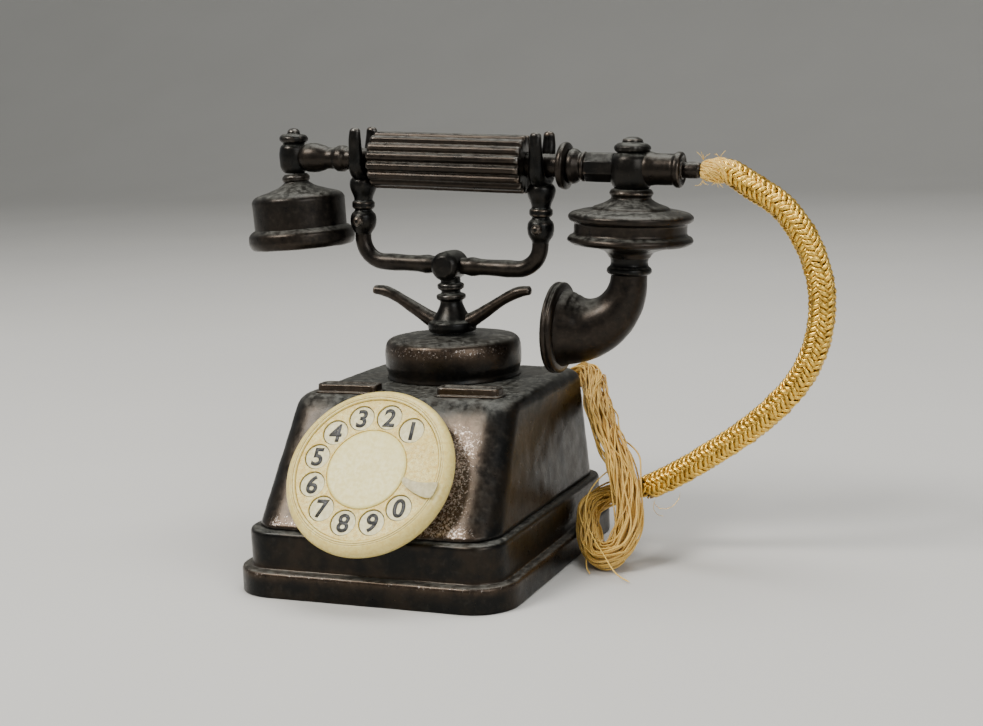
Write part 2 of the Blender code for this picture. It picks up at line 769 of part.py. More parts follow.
def fork_outline():
    """A U in the (depth, height) plane that holds the handset's shaft."""
    outer = SLOT_RADIUS + FORK_WALL
    tip = FORK_WALL / 2
    centre = SLOT_RADIUS + tip
    top = FORK_TIP_RISE - tip
    points = arc((0, 0), outer, 180, 360, 10)
    points += arc((centre, top), tip, 0, 180, 4)
    points += arc((0, 0), SLOT_RADIUS, 0, -180, 10)
    points += arc((-centre, top), tip, 0, 180, 4)
    return points


def make_forks():
    for side, sign in (("left", -1), ("right", 1)):
        name = f"fork_{side}"
        mesh = meshed(outline_curve(name, [fork_outline()], FORK_WIDTH))
        fork = part(name, mesh, "bronze", turn=SIDEWAYS, at=(sign * ARM_HALF_SPAN, 0, 0),
                    parent=SHAFT)
        round_edges(fork, FORK_ROUND, segments=2, angle=50)


# ---------------------------------------------------------------- handset


def grip_outline(radius, depth, ribs):
    """A ring of round ribs with narrow grooves between them."""
    points = []
    for rib in range(ribs):
        for share, low in ((0, 1), (0.16, 0.35), (0.36, 0), (0.64, 0), (0.84, 0.35)):
            angle = 2 * math.pi * (rib + share) / ribs
            reach = radius - low * depth
            points.append((reach * math.cos(angle), reach * math.sin(angle)))
    return points


def circle(radius, count):
    return [
        (radius * math.cos(2 * math.pi * i / count), radius * math.sin(2 * math.pi * i / count))
        for i in range(count)
    ]


def make_grip():
    outlines = [grip_outline(GRIP_RADIUS, GRIP_RIB_DEPTH, GRIP_RIBS), circle(SHAFT_RADIUS + FIT, 24)]
    mesh = meshed(outline_curve("grip", outlines, 2 * GRIP_HALF_LENGTH))
    part("grip", mesh, "bronze", turn=SIDEWAYS, parent=HANDSET)


def along_x(name, points, finish="bronze", steps=24):
    """A piece turned about the handset's axis. Its profile's heights are places along X."""
    return turned(name, points, finish, steps, turn=ALONG, parent=HANDSET)


def saddle(obj, x, radius, drop):
    """Hollows a piece's end so that it sits against a round knuckle."""
    name = f"{obj.name}_saddle"
    round_tool = cylinder_mesh(name, radius + FIT, 4 * drop, STEPS)
    cut(obj, cutter(name, round_tool, at=(x, 0, 0), parent=HANDSET))


def make_shaft():
    right = COLLAR_X - GAP
    ball = arc((0, ELBOW_BALL_X), ELBOW_BALL_RADIUS, 50, -70, 7)
    points = [(0, right), (SHAFT_RADIUS, right)] + ball + [(0, ball[-1][1])]
    saddle(along_x("handset_shaft", points), KNUCKLE_L_X, KNUCKLE_L_RADIUS, KNUCKLE_L_DROP)


def make_right_side():
    """Collar, sleeve and faceted shaft between the fork and the transmitter."""
    edge = COLLAR_WIDTH / 3
    end = COLLAR_X + COLLAR_WIDTH
    along_x("shaft_collar", [
        (0, end), (COLLAR_RADIUS - edge, end), (COLLAR_RADIUS, end - edge),
        (COLLAR_RADIUS, COLLAR_X + edge), (COLLAR_RADIUS - edge, COLLAR_X), (0, COLLAR_X),
    ])
    start = end + GAP
    groove = SLEEVE_END_X - 0.0009
    thin = SLEEVE_RADIUS * 0.84
    along_x("shaft_sleeve", [
        (0, SLEEVE_END_X), (thin, SLEEVE_END_X), (thin, groove + 0.0003), (thin * 0.86, groove),
        (thin, groove - 0.0003), (SLEEVE_RADIUS, start + 0.0007), (SLEEVE_RADIUS, start), (0, start),
    ])
    low = SLEEVE_END_X + GAP
    high = KNUCKLE_R_X - KNUCKLE_R_RADIUS / 2
    rod = part("faceted_shaft", cylinder_mesh("faceted_shaft", FACET_RADIUS, high - low, 8),
               "bronze", turn=ALONG, at=((low + high) / 2, 0, 0), parent=HANDSET)
    saddle(rod, KNUCKLE_R_X, KNUCKLE_R_RADIUS, KNUCKLE_R_DROP)


def make_knuckles():
    for name, x, radius, top, drop in (
        ("receiver_knuckle", KNUCKLE_L_X, KNUCKLE_L_RADIUS, KNUCKLE_L_TOP, KNUCKLE_L_DROP),
        ("transmitter_knuckle", KNUCKLE_R_X, KNUCKLE_R_RADIUS, KNUCKLE_R_TOP, KNUCKLE_R_DROP),
    ):
        edge = radius * 0.18
        shape = [
            (0, top), (radius - edge, top), (radius, top - edge),
            (radius, edge - drop), (radius - edge, -drop), (0, -drop),
        ]
        turned(name, shape, "bronze", at=(x, 0, 0), parent=HANDSET)
    make_finial("receiver_finial", KNUCKLE_L_X, KNUCKLE_L_TOP + FIT, FINIAL_RADIUS)
    make_finial("transmitter_finial", KNUCKLE_R_X, KNUCKLE_R_TOP + FIT, KNOB_RADIUS)


def make_finial(name, x, z, radius):
    """A waisted neck under a low domed disc, with a small button on top."""
    neck = radius * 0.62
    shape = [(0, 0.0030), (radius * 0.30, 0.0029), (radius * 0.42, 0.0025)]
    shape += [(radius * 0.75, 0.0023), (radius, 0.0017), (radius, 0.0011)]
    shape += [(radius * 0.85, 0.0008), (neck, 0.0006), (neck, 0), (0, 0)]
    turned(name, shape, "bronze", 24, at=(x, 0, z), parent=HANDSET)


def make_receiver():
    neck_top = -KNUCKLE_L_DROP - FIT - KNUCKLE_L_RADIUS * abs(math.sin(RECEIVER_TILT))
    cup_top, cup_end = -RECEIVER_TOP_DROP, -RECEIVER_CUP_DROP
    wall = 0.0012
    outer, inner = RECEIVER_RADIUS, RECEIVER_RADIUS - wall
    shape = [(0, neck_top), (KNUCKLE_L_RADIUS * 0.8, neck_top)]
    shape += [(KNUCKLE_L_RADIUS, neck_top - 0.0004), (KNUCKLE_L_RADIUS, neck_top - 0.0009)]
    shape += [(KNUCKLE_L_RADIUS * 0.85, neck_top - 0.0013)]
    shape += [(outer * 0.55, cup_top + 0.0012), (outer - 0.0008, cup_top + 0.0003)]
    shape += [(outer, cup_top - 0.0004), (outer, cup_end)]
    shape += [(inner, cup_end), (inner, cup_top - wall), (0, cup_top - wall)]
    turned("receiver_cup", shape, "bronze", parent=RECEIVER)
    rim = RECEIVER_CAP_RADIUS
    top, bottom = cup_end - FIT, cup_end - RECEIVER_CAP_HEIGHT
    mouth = inner - 0.0012
    cap = [(outer + 0.0002, top), (rim, top - 0.0009), (rim, bottom + 0.0009)]
    cap += [(rim - 0.0009, bottom), (mouth, bottom), (mouth, bottom + 0.0016), (inner, top)]
    turned("receiver_cap", cap, "bronze", parent=RECEIVER)
    disc_top = cup_end + 0.0012
    disc = rod_profile(inner - FIT, disc_top, disc_top - 0.0006)
    turned("receiver_diaphragm", disc, "black", parent=RECEIVER)


def make_cord_end():
    low = KNUCKLE_R_X + KNUCKLE_R_RADIUS / 2
    end = TUBE_END_X
    lip = TUBE_RADIUS + 0.0003
    outlet = along_x("cord_tube", [
        (0, end), (TUBE_RADIUS, end), (lip, end - 0.0004), (lip, end - 0.0010),
        (TUBE_RADIUS, end - 0.0014), (TUBE_RADIUS, low), (0, low),
    ])
    saddle(outlet, KNUCKLE_R_X, KNUCKLE_R_RADIUS, KNUCKLE_R_DROP)
    along_x("cord_nub", rod_profile(NUB_RADIUS, NUB_END_X, end + FIT), steps=SMALL_STEPS)


def make_transmitter():
    """A grooved capsule under a shallow cone, then a neck down to the mouthpiece."""
    at = (KNUCKLE_R_X, 0, 0)
    start = -KNUCKLE_R_DROP - FIT
    rim, top, bottom = CAPSULE_RADIUS, -CAPSULE_TOP_DROP, -CAPSULE_BOTTOM_DROP
    neck = KNUCKLE_R_RADIUS
    shape = [(0, start), (neck * 0.85, start), (neck, start - 0.0004), (neck, start - 0.0010)]
    shape += [(neck * 0.82, start - 0.0015), (rim * 0.62, top + 0.0014), (rim * 0.66, top + 0.0009)]
    shape += [(rim * 0.80, top + 0.0008), (rim - 0.0004, top + 0.0003), (rim, top - 0.0003)]
    shape += [(rim - 0.0003, top - 0.0009), (rim - CAPSULE_GROOVE, top - 0.0013)]
    shape += [(rim - CAPSULE_GROOVE, bottom + 0.0013), (rim - 0.0003, bottom + 0.0009)]
    shape += [(rim, bottom + 0.0003), (rim - 0.0006, bottom)]
    shape += [(rim * 0.62, bottom - 0.0008), (neck * 1.05, bottom - 0.0019), (neck, bottom - 0.0026)]
    shape += [(0, bottom - 0.0026)]
    turned("transmitter_capsule", shape, "bronze", FINE_STEPS, at=at, parent=HANDSET)
    ring_top = bottom - 0.0026 - FIT
    ring_end = -HORN_NECK_DROP - 0.0004 + FIT
    radius = neck * 0.98
    ring = [(0, ring_top), (radius - 0.0004, ring_top), (radius, ring_top - 0.0004)]
    ring += [(radius, ring_end + 0.0004), (radius - 0.0004, ring_end), (0, ring_end)]
    turned("mouthpiece_collar", ring, "bronze", 24, at=at, parent=HANDSET)


def mouth_path():
    """The mouthpiece's middle line: down, round a bend, and out towards -X."""
    start = -HORN_NECK_DROP - 0.0004
    centre = (KNUCKLE_R_X - MOUTH_BEND, -MOUTH_DROP + MOUTH_BEND)
    points = [(KNUCKLE_R_X, start)]
    points += arc(centre, MOUTH_BEND, 0, -90, 9)
    end = MOUTH_FACE_X + RIM_WIDTH + FIT
    points += [((points[-1][0] + end) / 2, -MOUTH_DROP), (end, -MOUTH_DROP)]
    return [(x, 0, z) for x, z in points]


def mouth_shares(points, inset):
    """The tube's radius at each point of its path, which swells towards the bell."""
    steps = [0.0]
    for p, q in zip(points, points[1:]):
        steps.append(steps[-1] + (Vector(q) - Vector(p)).length)
    grow = MOUTH_END_RADIUS - MOUTH_NECK_RADIUS
    return [MOUTH_NECK_RADIUS + grow * (s / steps[-1]) ** 1.5 - inset for s in steps]


def make_mouthpiece():
    path = mouth_path()
    horn = part("mouthpiece_horn", meshed(tube_curve(
        "mouthpiece_horn", path, 1, MOUTH_SIDES, mouth_shares(path, 0))), "bronze", parent=HANDSET)
    inner = path[1:-1] + [(path[-1][0] - GAP, 0, path[-1][2])]
    sizes = mouth_shares(path, MOUTH_WALL)[1:]
    cut(horn, cutter("mouth_bore", meshed(tube_curve("mouth_bore", inner, 1, MOUTH_SIDES, sizes)),
                     parent=HANDSET))
    soften(horn)
    face, back = MOUTH_FACE_X, MOUTH_FACE_X + RIM_WIDTH
    bore = MOUTH_END_RADIUS - MOUTH_WALL
    roll = RIM_WIDTH / 4
    shape = [(MOUTH_END_RADIUS, back)]
    shape += arc((RIM_RADIUS - roll, back - roll), roll, 90, -60, 4)
    shape += arc((RIM_RADIUS - roll, face + roll), roll, 60, -90, 4)
    shape += [(bore + roll, face), (bore, face + roll), (bore, back)]
    turned("mouthpiece_rim", shape, "bronze", at=(0, 0, -MOUTH_DROP), turn=ALONG, parent=HANDSET)


# ---------------------------------------------------------------- dial


def make_seat():
    bore = SPINDLE_RADIUS + FIT
    top = GAP + SEAT_HEIGHT
    shape = [(SPRING_WELL_RADIUS, top), (SEAT_RADIUS, top), (SEAT_RADIUS, GAP), (bore, GAP)]
    shape += [(bore, top - SPRING_WELL_DEPTH), (SPRING_WELL_RADIUS, top - SPRING_WELL_DEPTH)]
    turned("dial_seat", shape, "black", parent=DIAL)


def make_number_plate():
    bore = SPINDLE_RADIUS + FIT
    radius, rim = PLATE_RADIUS, PLATE_RIM
    middle = (PLATE_BASE + rim) / 2
    half = (rim - PLATE_BASE) / 2
    side = [
        (radius - half + half * math.cos(math.radians(a)), middle + half * math.sin(math.radians(a)))
        for a in (70, 35, 0, -35, -70)
    ]
    shape = [(bore, PLATE_FACE), (RIM_FLAT - 0.0002, PLATE_FACE), (RIM_FLAT, rim)] + side
    shape += [(radius - half, PLATE_BASE), (bore, PLATE_BASE)]
    turned("number_plate", shape, "ivory", FINE_STEPS, parent=DIAL)


def make_wheel():
    hub = SPINDLE_RADIUS + FIT
    well = CAP_RADIUS + FIT
    floor = WHEEL_TOP - CAP_RECESS
    shape = [(well, WHEEL_TOP), (WHEEL_RADIUS - 0.0002, WHEEL_TOP)]
    shape += [(WHEEL_RADIUS, WHEEL_TOP - 0.0002), (WHEEL_RADIUS, WHEEL_BASE)]
    shape += [(hub, WHEEL_BASE), (hub, floor), (well, floor)]
    wheel = turned("finger_wheel", shape, "ivory", FINE_STEPS, parent=DIAL)
    bm = bmesh.new()
    for number in range(HOLE_COUNT):
        angle = FIRST_HOLE + number * HOLE_PITCH
        made = bmesh.ops.create_cone(
            bm, cap_ends=True, segments=14, radius1=HOLE_RADIUS, radius2=HOLE_RADIUS,
            depth=4 * WHEEL_THICKNESS,
        )
        shift = Vector((HOLE_CIRCLE * math.cos(angle), HOLE_CIRCLE * math.sin(angle), WHEEL_BASE))
        bmesh.ops.translate(bm, vec=shift, verts=made["verts"])
    mesh = bpy.data.meshes.new("finger_holes")
    bm.to_mesh(mesh)
    bm.free()
    cut(wheel, cutter("finger_holes", mesh, parent=DIAL))
    cap_base = floor + FIT
    cap_top = WHEEL_TOP + FIT
    cap = [(0, cap_top), (CAP_RADIUS - 0.0002, cap_top), (CAP_RADIUS, cap_top - 0.0002)]
    cap += [(CAP_RADIUS, cap_base), (0, cap_base)]
    turned("dial_cap", cap, "ivory", parent=DIAL)


def make_spindle():
    top = WHEEL_TOP - CAP_RECESS
    groove_top = -SPINDLE_INSIDE + 0.0012 + CLIP_THICKNESS
    waist = SPINDLE_RADIUS * 0.7
    shape = [(0, top), (SPINDLE_RADIUS, top), (SPINDLE_RADIUS, groove_top)]
    shape += [(waist, groove_top), (waist, groove_top - CLIP_THICKNESS - 2 * FIT)]
    shape += [(SPINDLE_RADIUS, groove_top - CLIP_THICKNESS - 2 * FIT)]
    shape += [(SPINDLE_RADIUS, -SPINDLE_INSIDE), (0, -SPINDLE_INSIDE)]
    turned("dial_spindle", shape, "steel", SMALL_STEPS, parent=DIAL)
    outer = circle(CLIP_RADIUS, 24)
    opening = math.radians(35)
    inner = waist + FIT
    angles = [opening + (2 * math.pi - 2 * opening) * i / 20 for i in range(21)]
    ring = [(CLIP_RADIUS * math.cos(a), CLIP_RADIUS * math.sin(a)) for a in angles]
    ring += [(inner * math.cos(a), inner * math.sin(a)) for a in reversed(angles)]
    clip = meshed(outline_curve("spindle_clip", [ring], CLIP_THICKNESS))
    part("spindle_clip", clip, "steel", parent=DIAL,
         at=(0, 0, groove_top - FIT - CLIP_THICKNESS / 2))


def make_return_spring():
    """A flat spiral that lies in the seat's well, clear of the spindle."""
    count = 44
    outer = SPRING_WELL_RADIUS - GAP - SPRING_WIRE
    z = GAP + SEAT_HEIGHT - SPRING_WELL_DEPTH / 2
    points = []
    for i in range(count + 1):
        share = i / count
        radius = SPRING_INNER + (outer - SPRING_INNER) * share
        angle = 2 * math.pi * SPRING_TURNS * share
        points.append((radius * math.cos(angle), radius * math.sin(angle), z))
    tube("return_spring", points, SPRING_WIRE, "steel", 1, parent=DIAL)


def make_finger_stop():
    """A curved blade over the wheel, wider where it meets the plate's rim."""
    inner = [(STOP_INNER, STOP_ANGLE + side * STOP_INNER_HALF) for side in (-1, 1)]
    outer = [
        (STOP_OUTER, STOP_ANGLE + STOP_OUTER_HALF * (1 - i / 2)) for i in range(5)
    ]
    points = [(r * math.cos(a), r * math.sin(a)) for r, a in inner + outer]
    mesh = meshed(outline_curve("finger_stop", [points], STOP_THICKNESS))
    z = max(PLATE_RIM, WHEEL_TOP + FIT) + FIT + STOP_THICKNESS / 2
    stop = part("finger_stop", mesh, "ivory", at=(0, 0, z), parent=DIAL)
    round_edges(stop, STOP_THICKNESS / 4, segments=1)


# ---------------------------------------------------------------- cord


def shifted(points, x, y):
    return [(px + x, py + y, pz) for px, py, pz in points]


def make_cord():
    """The cord's middle line, from the handset's nub down and round into the case."""
    nub = HANDSET.matrix_world @ Vector((NUB_END_X + GAP, 0, 0))
    onward = HANDSET.matrix_world.to_3x3() @ Vector((1, 0, 0))
    hang = shifted(HANG_ROUTE, NUB_END_X, COLUMN_Y) + shifted(BRAID_ROUTE, FLANGE_HALF_X, COLUMN_Y)
    braid = [nub] + smooth_route([nub + 2 * BRAID_RADIUS * onward] + hang, 2 * BRAID_RADIUS)
    tube("braided_cord", braid, BRAID_RADIUS, "gold")
    ahead = (braid[-1] - braid[-2]).normalized()
    start = braid[-1] + GAP * ahead
    out = BACK_LEAN_OUT
    hole = Vector((GLAND_X, gland_y(), GLAND_Z)) + (2 * GAP + GLAND_LENGTH) * out
    entry = hole + 2 * THREAD_RADIUS * out
    loop = shifted(THREAD_ROUTE, FLANGE_HALF_X, COLUMN_Y)
    loop += shifted(BEHIND_ROUTE, FLANGE_HALF_X, FLANGE_HALF_Y)
    core = smooth_route([start + THREAD_RADIUS * ahead] + loop + [entry], 2 * THREAD_RADIUS)
    tube("thread_core", [start] + core + [hole], THREAD_RADIUS, "thread")


# ---------------------------------------------------------------- assembly

ALONG = (0, math.pi / 2, 0)
BACKWARD = (-math.pi / 2, 0, 0)
FORWARD = (math.pi / 2, 0, 0)
SIDEWAYS = (math.pi / 2, 0, math.pi / 2)

clear_scene()
PARTS = collection("miniature_telephone")
CUTTERS = collection("cutters")
DIAL = frame(
    "dial_axis",
    (
        0,
        -FOOT_HALF_Y + DIAL_ALONG_SLOPE * math.cos(DIAL_SLOPE),
        FOOT_Z + DIAL_ALONG_SLOPE * math.sin(DIAL_SLOPE),
    ),
    (DIAL_SLOPE, 0, 0),
)
YOKE = frame("yoke_pivot", (0, COLUMN_Y, PIVOT_Z), (0, YOKE_TILT, 0))
SHAFT = frame("yoke_top", (0, 0, SHAFT_RISE), parent=YOKE)
HANDSET = frame("handset_axis", (0, 0, 0), parent=SHAFT)
RECEIVER = frame("receiver_axis", (KNUCKLE_L_X, 0, 0), (0, RECEIVER_TILT, 0), HANDSET)
bpy.context.view_layer.update()

make_plinth()
make_bottom()
make_case()
make_pads()
make_gland()
make_drum()
make_column()
make_nut()
make_horns()
make_rod()
make_posts()
make_forks()
make_grip()
make_shaft()
make_right_side()
make_knuckles()
make_receiver()
make_cord_end()
make_transmitter()
make_mouthpiece()
make_seat()
make_number_plate()
make_wheel()
make_spindle()
make_return_spring()
make_finger_stop()
make_cord()
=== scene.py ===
"""Looks of a miniature cast-metal cradle telephone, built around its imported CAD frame.

Metres, +Z up, the dial towards -Y. Every piece is modelled in the row frame.
"""

import json
import math

import bmesh
import bpy
import numpy as np
from mathutils import Matrix, Vector, noise


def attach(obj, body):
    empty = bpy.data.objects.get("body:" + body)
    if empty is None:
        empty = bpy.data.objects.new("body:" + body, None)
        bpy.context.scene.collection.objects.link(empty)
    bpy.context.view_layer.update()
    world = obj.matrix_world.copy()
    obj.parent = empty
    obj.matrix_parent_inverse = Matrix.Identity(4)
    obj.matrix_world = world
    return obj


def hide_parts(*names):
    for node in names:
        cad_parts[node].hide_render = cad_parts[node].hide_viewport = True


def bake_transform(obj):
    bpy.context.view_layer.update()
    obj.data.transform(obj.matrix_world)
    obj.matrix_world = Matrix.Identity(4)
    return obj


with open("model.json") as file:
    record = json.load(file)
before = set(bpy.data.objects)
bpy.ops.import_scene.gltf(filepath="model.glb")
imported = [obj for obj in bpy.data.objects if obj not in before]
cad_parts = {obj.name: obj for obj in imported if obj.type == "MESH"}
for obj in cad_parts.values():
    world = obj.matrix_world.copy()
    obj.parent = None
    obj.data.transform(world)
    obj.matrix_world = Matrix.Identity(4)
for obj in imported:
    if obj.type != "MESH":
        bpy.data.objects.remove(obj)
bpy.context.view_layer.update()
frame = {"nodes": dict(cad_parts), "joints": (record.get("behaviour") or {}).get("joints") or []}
JOINTS = {joint["name"]: joint for joint in frame["joints"]}
MM = 0.001
SURFACE_SEED = 1
noise.seed_set(SURFACE_SEED)  # noise_vector takes its offsets from the clock unless a seed is set

# ------------------------------------------------------------------ places

TILT = math.radians(3)
SHAFT_RISE = 17.9
PIVOT = Vector(JOINTS["yoke_rock"]["pos_m"]) / MM
HANDSET = Matrix.Translation(PIVOT) @ Matrix.Rotation(TILT, 4, "Y")
HANDSET = HANDSET @ Matrix.Translation((0, 0, SHAFT_RISE))
KNUCKLE_L, KNUCKLE_R = -30.6, 32.6
RECEIVER_LEAN = math.radians(-6)
RECEIVER = HANDSET @ Matrix.Translation((KNUCKLE_L, 0, 0)) @ Matrix.Rotation(RECEIVER_LEAN, 4, "Y")
TRANSMITTER = HANDSET @ Matrix.Translation((KNUCKLE_R, 0, 0))
ARM = 16.75
DIAL_SLOPE = math.radians(53)
DIAL = Matrix.Translation(Vector(JOINTS["dial_turn"]["pos_m"]) / MM) @ Matrix.Rotation(DIAL_SLOPE, 4, "X")
ALONG = Matrix.Rotation(math.pi / 2, 4, "Y")
FORWARD = Matrix.Rotation(math.pi / 2, 4, "X")
BACKWARD = Matrix.Rotation(-math.pi / 2, 4, "X")
IDENTITY = Matrix.Identity(4)


def at(x, y, z):
    return Matrix.Translation((x, y, z))


# ------------------------------------------------------------------ mesh tools (all in millimetres)


def rounded(points, closed=False, steps=4):
    """A polyline whose corners (x, y, radius) are rounded off."""
    made = []
    count = len(points)
    for i, point in enumerate(points):
        x, y = point[:2]
        radius = point[2] if len(point) > 2 else 0
        if radius <= 0 or (not closed and i in (0, count - 1)):
            made.append((x, y))
            continue
        here = Vector((x, y))
        before = Vector(points[i - 1][:2]) - here
        after = Vector(points[(i + 1) % count][:2]) - here
        reach = min(radius, before.length * 0.48, after.length * 0.48)
        a = here + before.normalized() * reach
        b = here + after.normalized() * reach
        for k in range(steps + 1):
            t = k / steps
            p = a * (1 - t) ** 2 + here * 2 * t * (1 - t) + b * t * t
            made.append((p.x, p.y))
    return made


def finer(points, longest, closed=False):
    """The same line with no step longer than given."""
    pairs = list(zip(points, points[1:] + points[:1] if closed else points[1:]))
    made = []
    for p, q in pairs:
        count = max(1, math.ceil(math.dist(p, q) / longest))
        for k in range(count):
            t = k / count
            made.append(tuple(a + (b - a) * t for a, b in zip(p, q)))
    if not closed:
        made.append(points[-1])
    return made


def grid_faces(rows, columns, loop_rows=False):
    faces = []
    for i in range(rows if loop_rows else rows - 1):
        a, b = i * columns, (i + 1) % rows * columns
        for j in range(columns):
            k = (j + 1) % columns
            faces.append((a + j, a + k, b + k, b + j))
    return faces


def turned(profile, steps=72, closed=False, longest=0.3):
    """A lathe shape about Z. Its outside is listed from the top down; closed means a ring."""
    line = finer(profile, longest, closed)
    angle = np.arange(steps) * 2 * np.pi / steps
    ends = not closed and line[0][0] <= 0
    rows = [p for p in line if p[0] > 1e-6] if not closed else line
    verts = [(r * math.cos(a), r * math.sin(a), z) for r, z in rows for a in angle]
    faces = grid_faces(len(rows), steps, closed)
    if ends:
        top, bottom = len(verts), len(verts) + 1
        verts += [(0, 0, line[0][1]), (0, 0, line[-1][1])]
        last = (len(rows) - 1) * steps
        for j in range(steps):
            k = (j + 1) % steps
            faces.append((top, k, j))
            faces.append((bottom, last + j, last + k))
    return verts, faces


def lofted(rings, loop=False):
    """A solid through rings of equal length. A loop joins the last ring to the first."""
    count = len(rings[0])
    verts = [p for ring in rings for p in ring]
    faces = grid_faces(len(rings), count, loop)
    if not loop:
        for ring, flip in ((0, True), (len(rings) - 1, False)):
            centre = tuple(np.mean(rings[ring], axis=0))
            verts.append(centre)
            hub = len(verts) - 1
            first = ring * count
            for j in range(count):
                a, b = first + j, first + (j + 1) % count
                faces.append((hub, b, a) if flip else (hub, a, b))
    return verts, faces


def frames(path, first=None):
    """Unit tangents and two steady side directions along a path."""
    path = np.array(path, float)
    tangent = np.gradient(path, axis=0)
    tangent /= np.linalg.norm(tangent, axis=1)[:, None]
    side = np.cross(tangent[0], (0.12, 0.95, 0.3)) if first is None else np.array(first, float)
    side /= np.linalg.norm(side)
    sides = []
    for t in tangent:
        side = side - t * (side @ t)
        side = side / np.linalg.norm(side)
        sides.append(side)
    sides = np.array(sides)
    return path, tangent, sides, np.cross(tangent, sides)


def swept(path, radii, sides=16, flat=1.0, cap=0.6, first=None):
    """A rod along a path, with rounded ends. Flat scales it in its second side direction."""
    path, tangent, u, v = frames(path, first)
    radii = np.broadcast_to(np.array(radii, float), (len(path),)).copy()
    rows, sizes, us, vs = [], [], [], []
    for share in (0.0, 0.35, 0.7):
        rows.append(path[0] - tangent[0] * radii[0] * cap * (1 - share))
        sizes.append(radii[0] * math.sqrt(max(0.0, 1 - (1 - share) ** 2)) if share else radii[0] * 0.08)
        us.append(u[0])
        vs.append(v[0])
    for i in range(len(path)):
        rows.append(path[i])
        sizes.append(radii[i])
        us.append(u[i])
        vs.append(v[i])
    for share in (0.7, 0.35, 0.0):
        rows.append(path[-1] + tangent[-1] * radii[-1] * cap * (1 - share))
        sizes.append(radii[-1] * math.sqrt(max(0.0, 1 - (1 - share) ** 2)) if share else radii[-1] * 0.08)
        us.append(u[-1])
        vs.append(v[-1])
    rings = []
    for p, r, a, b in zip(rows, sizes, us, vs):
        rings.append([
            tuple(p + r * (a * math.cos(t) + b * flat * math.sin(t)))
            for t in (2 * math.pi * k / sides for k in range(sides))
        ])
    return lofted(rings)


def smooth_line(points, count):
    """Evenly spaced points on a Catmull-Rom curve."""
    ends = [2 * Vector(points[0]) - Vector(points[1])] + [Vector(p) for p in points]
    ends.append(2 * ends[-1] - ends[-2])
    fine = []
    for a, b, c, d in zip(ends, ends[1:], ends[2:], ends[3:]):
        for step in range(24):
            t = step / 24
            fine.append(0.5 * (2 * b + (c - a) * t + (2 * a - 5 * b + 4 * c - d) * t**2
                               + (3 * b - a - 3 * c + d) * t**3))
    fine.append(ends[-2])
    fine = np.array(fine)
    steps = np.r_[0, np.cumsum(np.linalg.norm(np.diff(fine, axis=0), axis=1))]
    wanted = np.linspace(0, steps[-1], count)
    return np.stack([np.interp(wanted, steps, fine[:, i]) for i in range(3)], 1)


def joined(*shapes):
    verts, faces = [], []
    for v, f in shapes:
        base = len(verts)
        verts += [tuple(p) for p in v]
        faces += [tuple(i + base for i in face) for face in f]
    return verts, faces


def moved(shape, matrix):
    verts, faces = shape
    return [tuple(matrix @ Vector(v)) for v in verts], faces


def bumped(shape, amount, size=2.5, seed=0.0):
    """The small unevenness of a cast surface."""
    verts, faces = shape
    made = []
    for v in verts:
        p = Vector(v) / size + Vector((seed, 2 * seed, -seed))
        made.append(tuple(Vector(v) + amount * noise.noise_vector(p)))
    return made, faces


def surface_facts(mesh):
    """Stores how sharp (wear) and how skyward (up) the surface is at each point."""
    count = len(mesh.vertices)
    co = np.empty(count * 3)
    mesh.vertices.foreach_get("co", co)
    co = co.reshape(-1, 3)
    normal = np.empty(count * 3)
    mesh.vertices.foreach_get("normal", normal)
    normal = normal.reshape(-1, 3)
    edge = np.empty(len(mesh.edges) * 2, int)
    mesh.edges.foreach_get("vertices", edge)
    a, b = edge.reshape(-1, 2).T
    total, weight = np.zeros(count), np.zeros(count)
    step = co[b] - co[a]
    length = np.linalg.norm(step, axis=1) + 1e-7
    for one, sign in ((a, -1), (b, 1)):
        bend = sign * np.einsum("ij,ij->i", normal[one], step) / length**2
        np.add.at(total, one, bend * length)
        np.add.at(weight, one, length)
    sharp = total / np.maximum(weight, 1e-9)
    for _ in range(2):
        spread, near = sharp.copy(), np.ones(count)
        np.add.at(spread, a, sharp[b])
        np.add.at(spread, b, sharp[a])
        np.add.at(near, a, 1)
        np.add.at(near, b, 1)
        sharp = spread / near
    wear = np.clip((sharp - 110) / 420, 0, 1)
    hollow = np.clip((-sharp - 60) / 350, 0, 1)
    for name, value in (("wear", wear), ("up", normal[:, 2]), ("hollow", hollow)):
        mesh.attributes.new(name, "FLOAT", "POINT").data.foreach_set("value", value.astype(np.float32))


def piece(name, shape, finish, body, nodes=(), rub_and_painted_light=None, matrix=IDENTITY, rough=0.0):
    """A finished mesh object: shape in millimetres, its material, body and CAD nodes."""
    shape = moved(shape, matrix)
    if rough:
        shape = bumped(shape, rough, seed=len(name) * 1.7)
    verts, faces = shape
    mesh = bpy.data.meshes.new(name)
    mesh.from_pydata([tuple(c * MM for c in v) for v in verts], [], faces)
    mesh.validate()
    bm = bmesh.new()
    bm.from_mesh(mesh)
    bmesh.ops.recalc_face_normals(bm, faces=bm.faces)
    bm.to_mesh(mesh)
    bm.free()
    mesh.shade_smooth()
    mesh.update()
    if len(mesh.vertices) < 200000:
        surface_facts(mesh)
    values = np.zeros(len(mesh.vertices), np.float32)
    if rub_and_painted_light:
        values = np.array([rub_and_painted_light(Vector(v.co) / MM) for v in mesh.vertices], np.float32)
    mesh.attributes.new("rub_and_painted_light", "FLOAT", "POINT").data.foreach_set("value", values)
    obj = bpy.data.objects.new(name, mesh)
    bpy.context.scene.collection.objects.link(obj)
    mesh.materials.append(finish)
    if body:
        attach(obj, body)
    if nodes:
        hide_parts(*nodes)
    return obj


# ------------------------------------------------------------------ materials


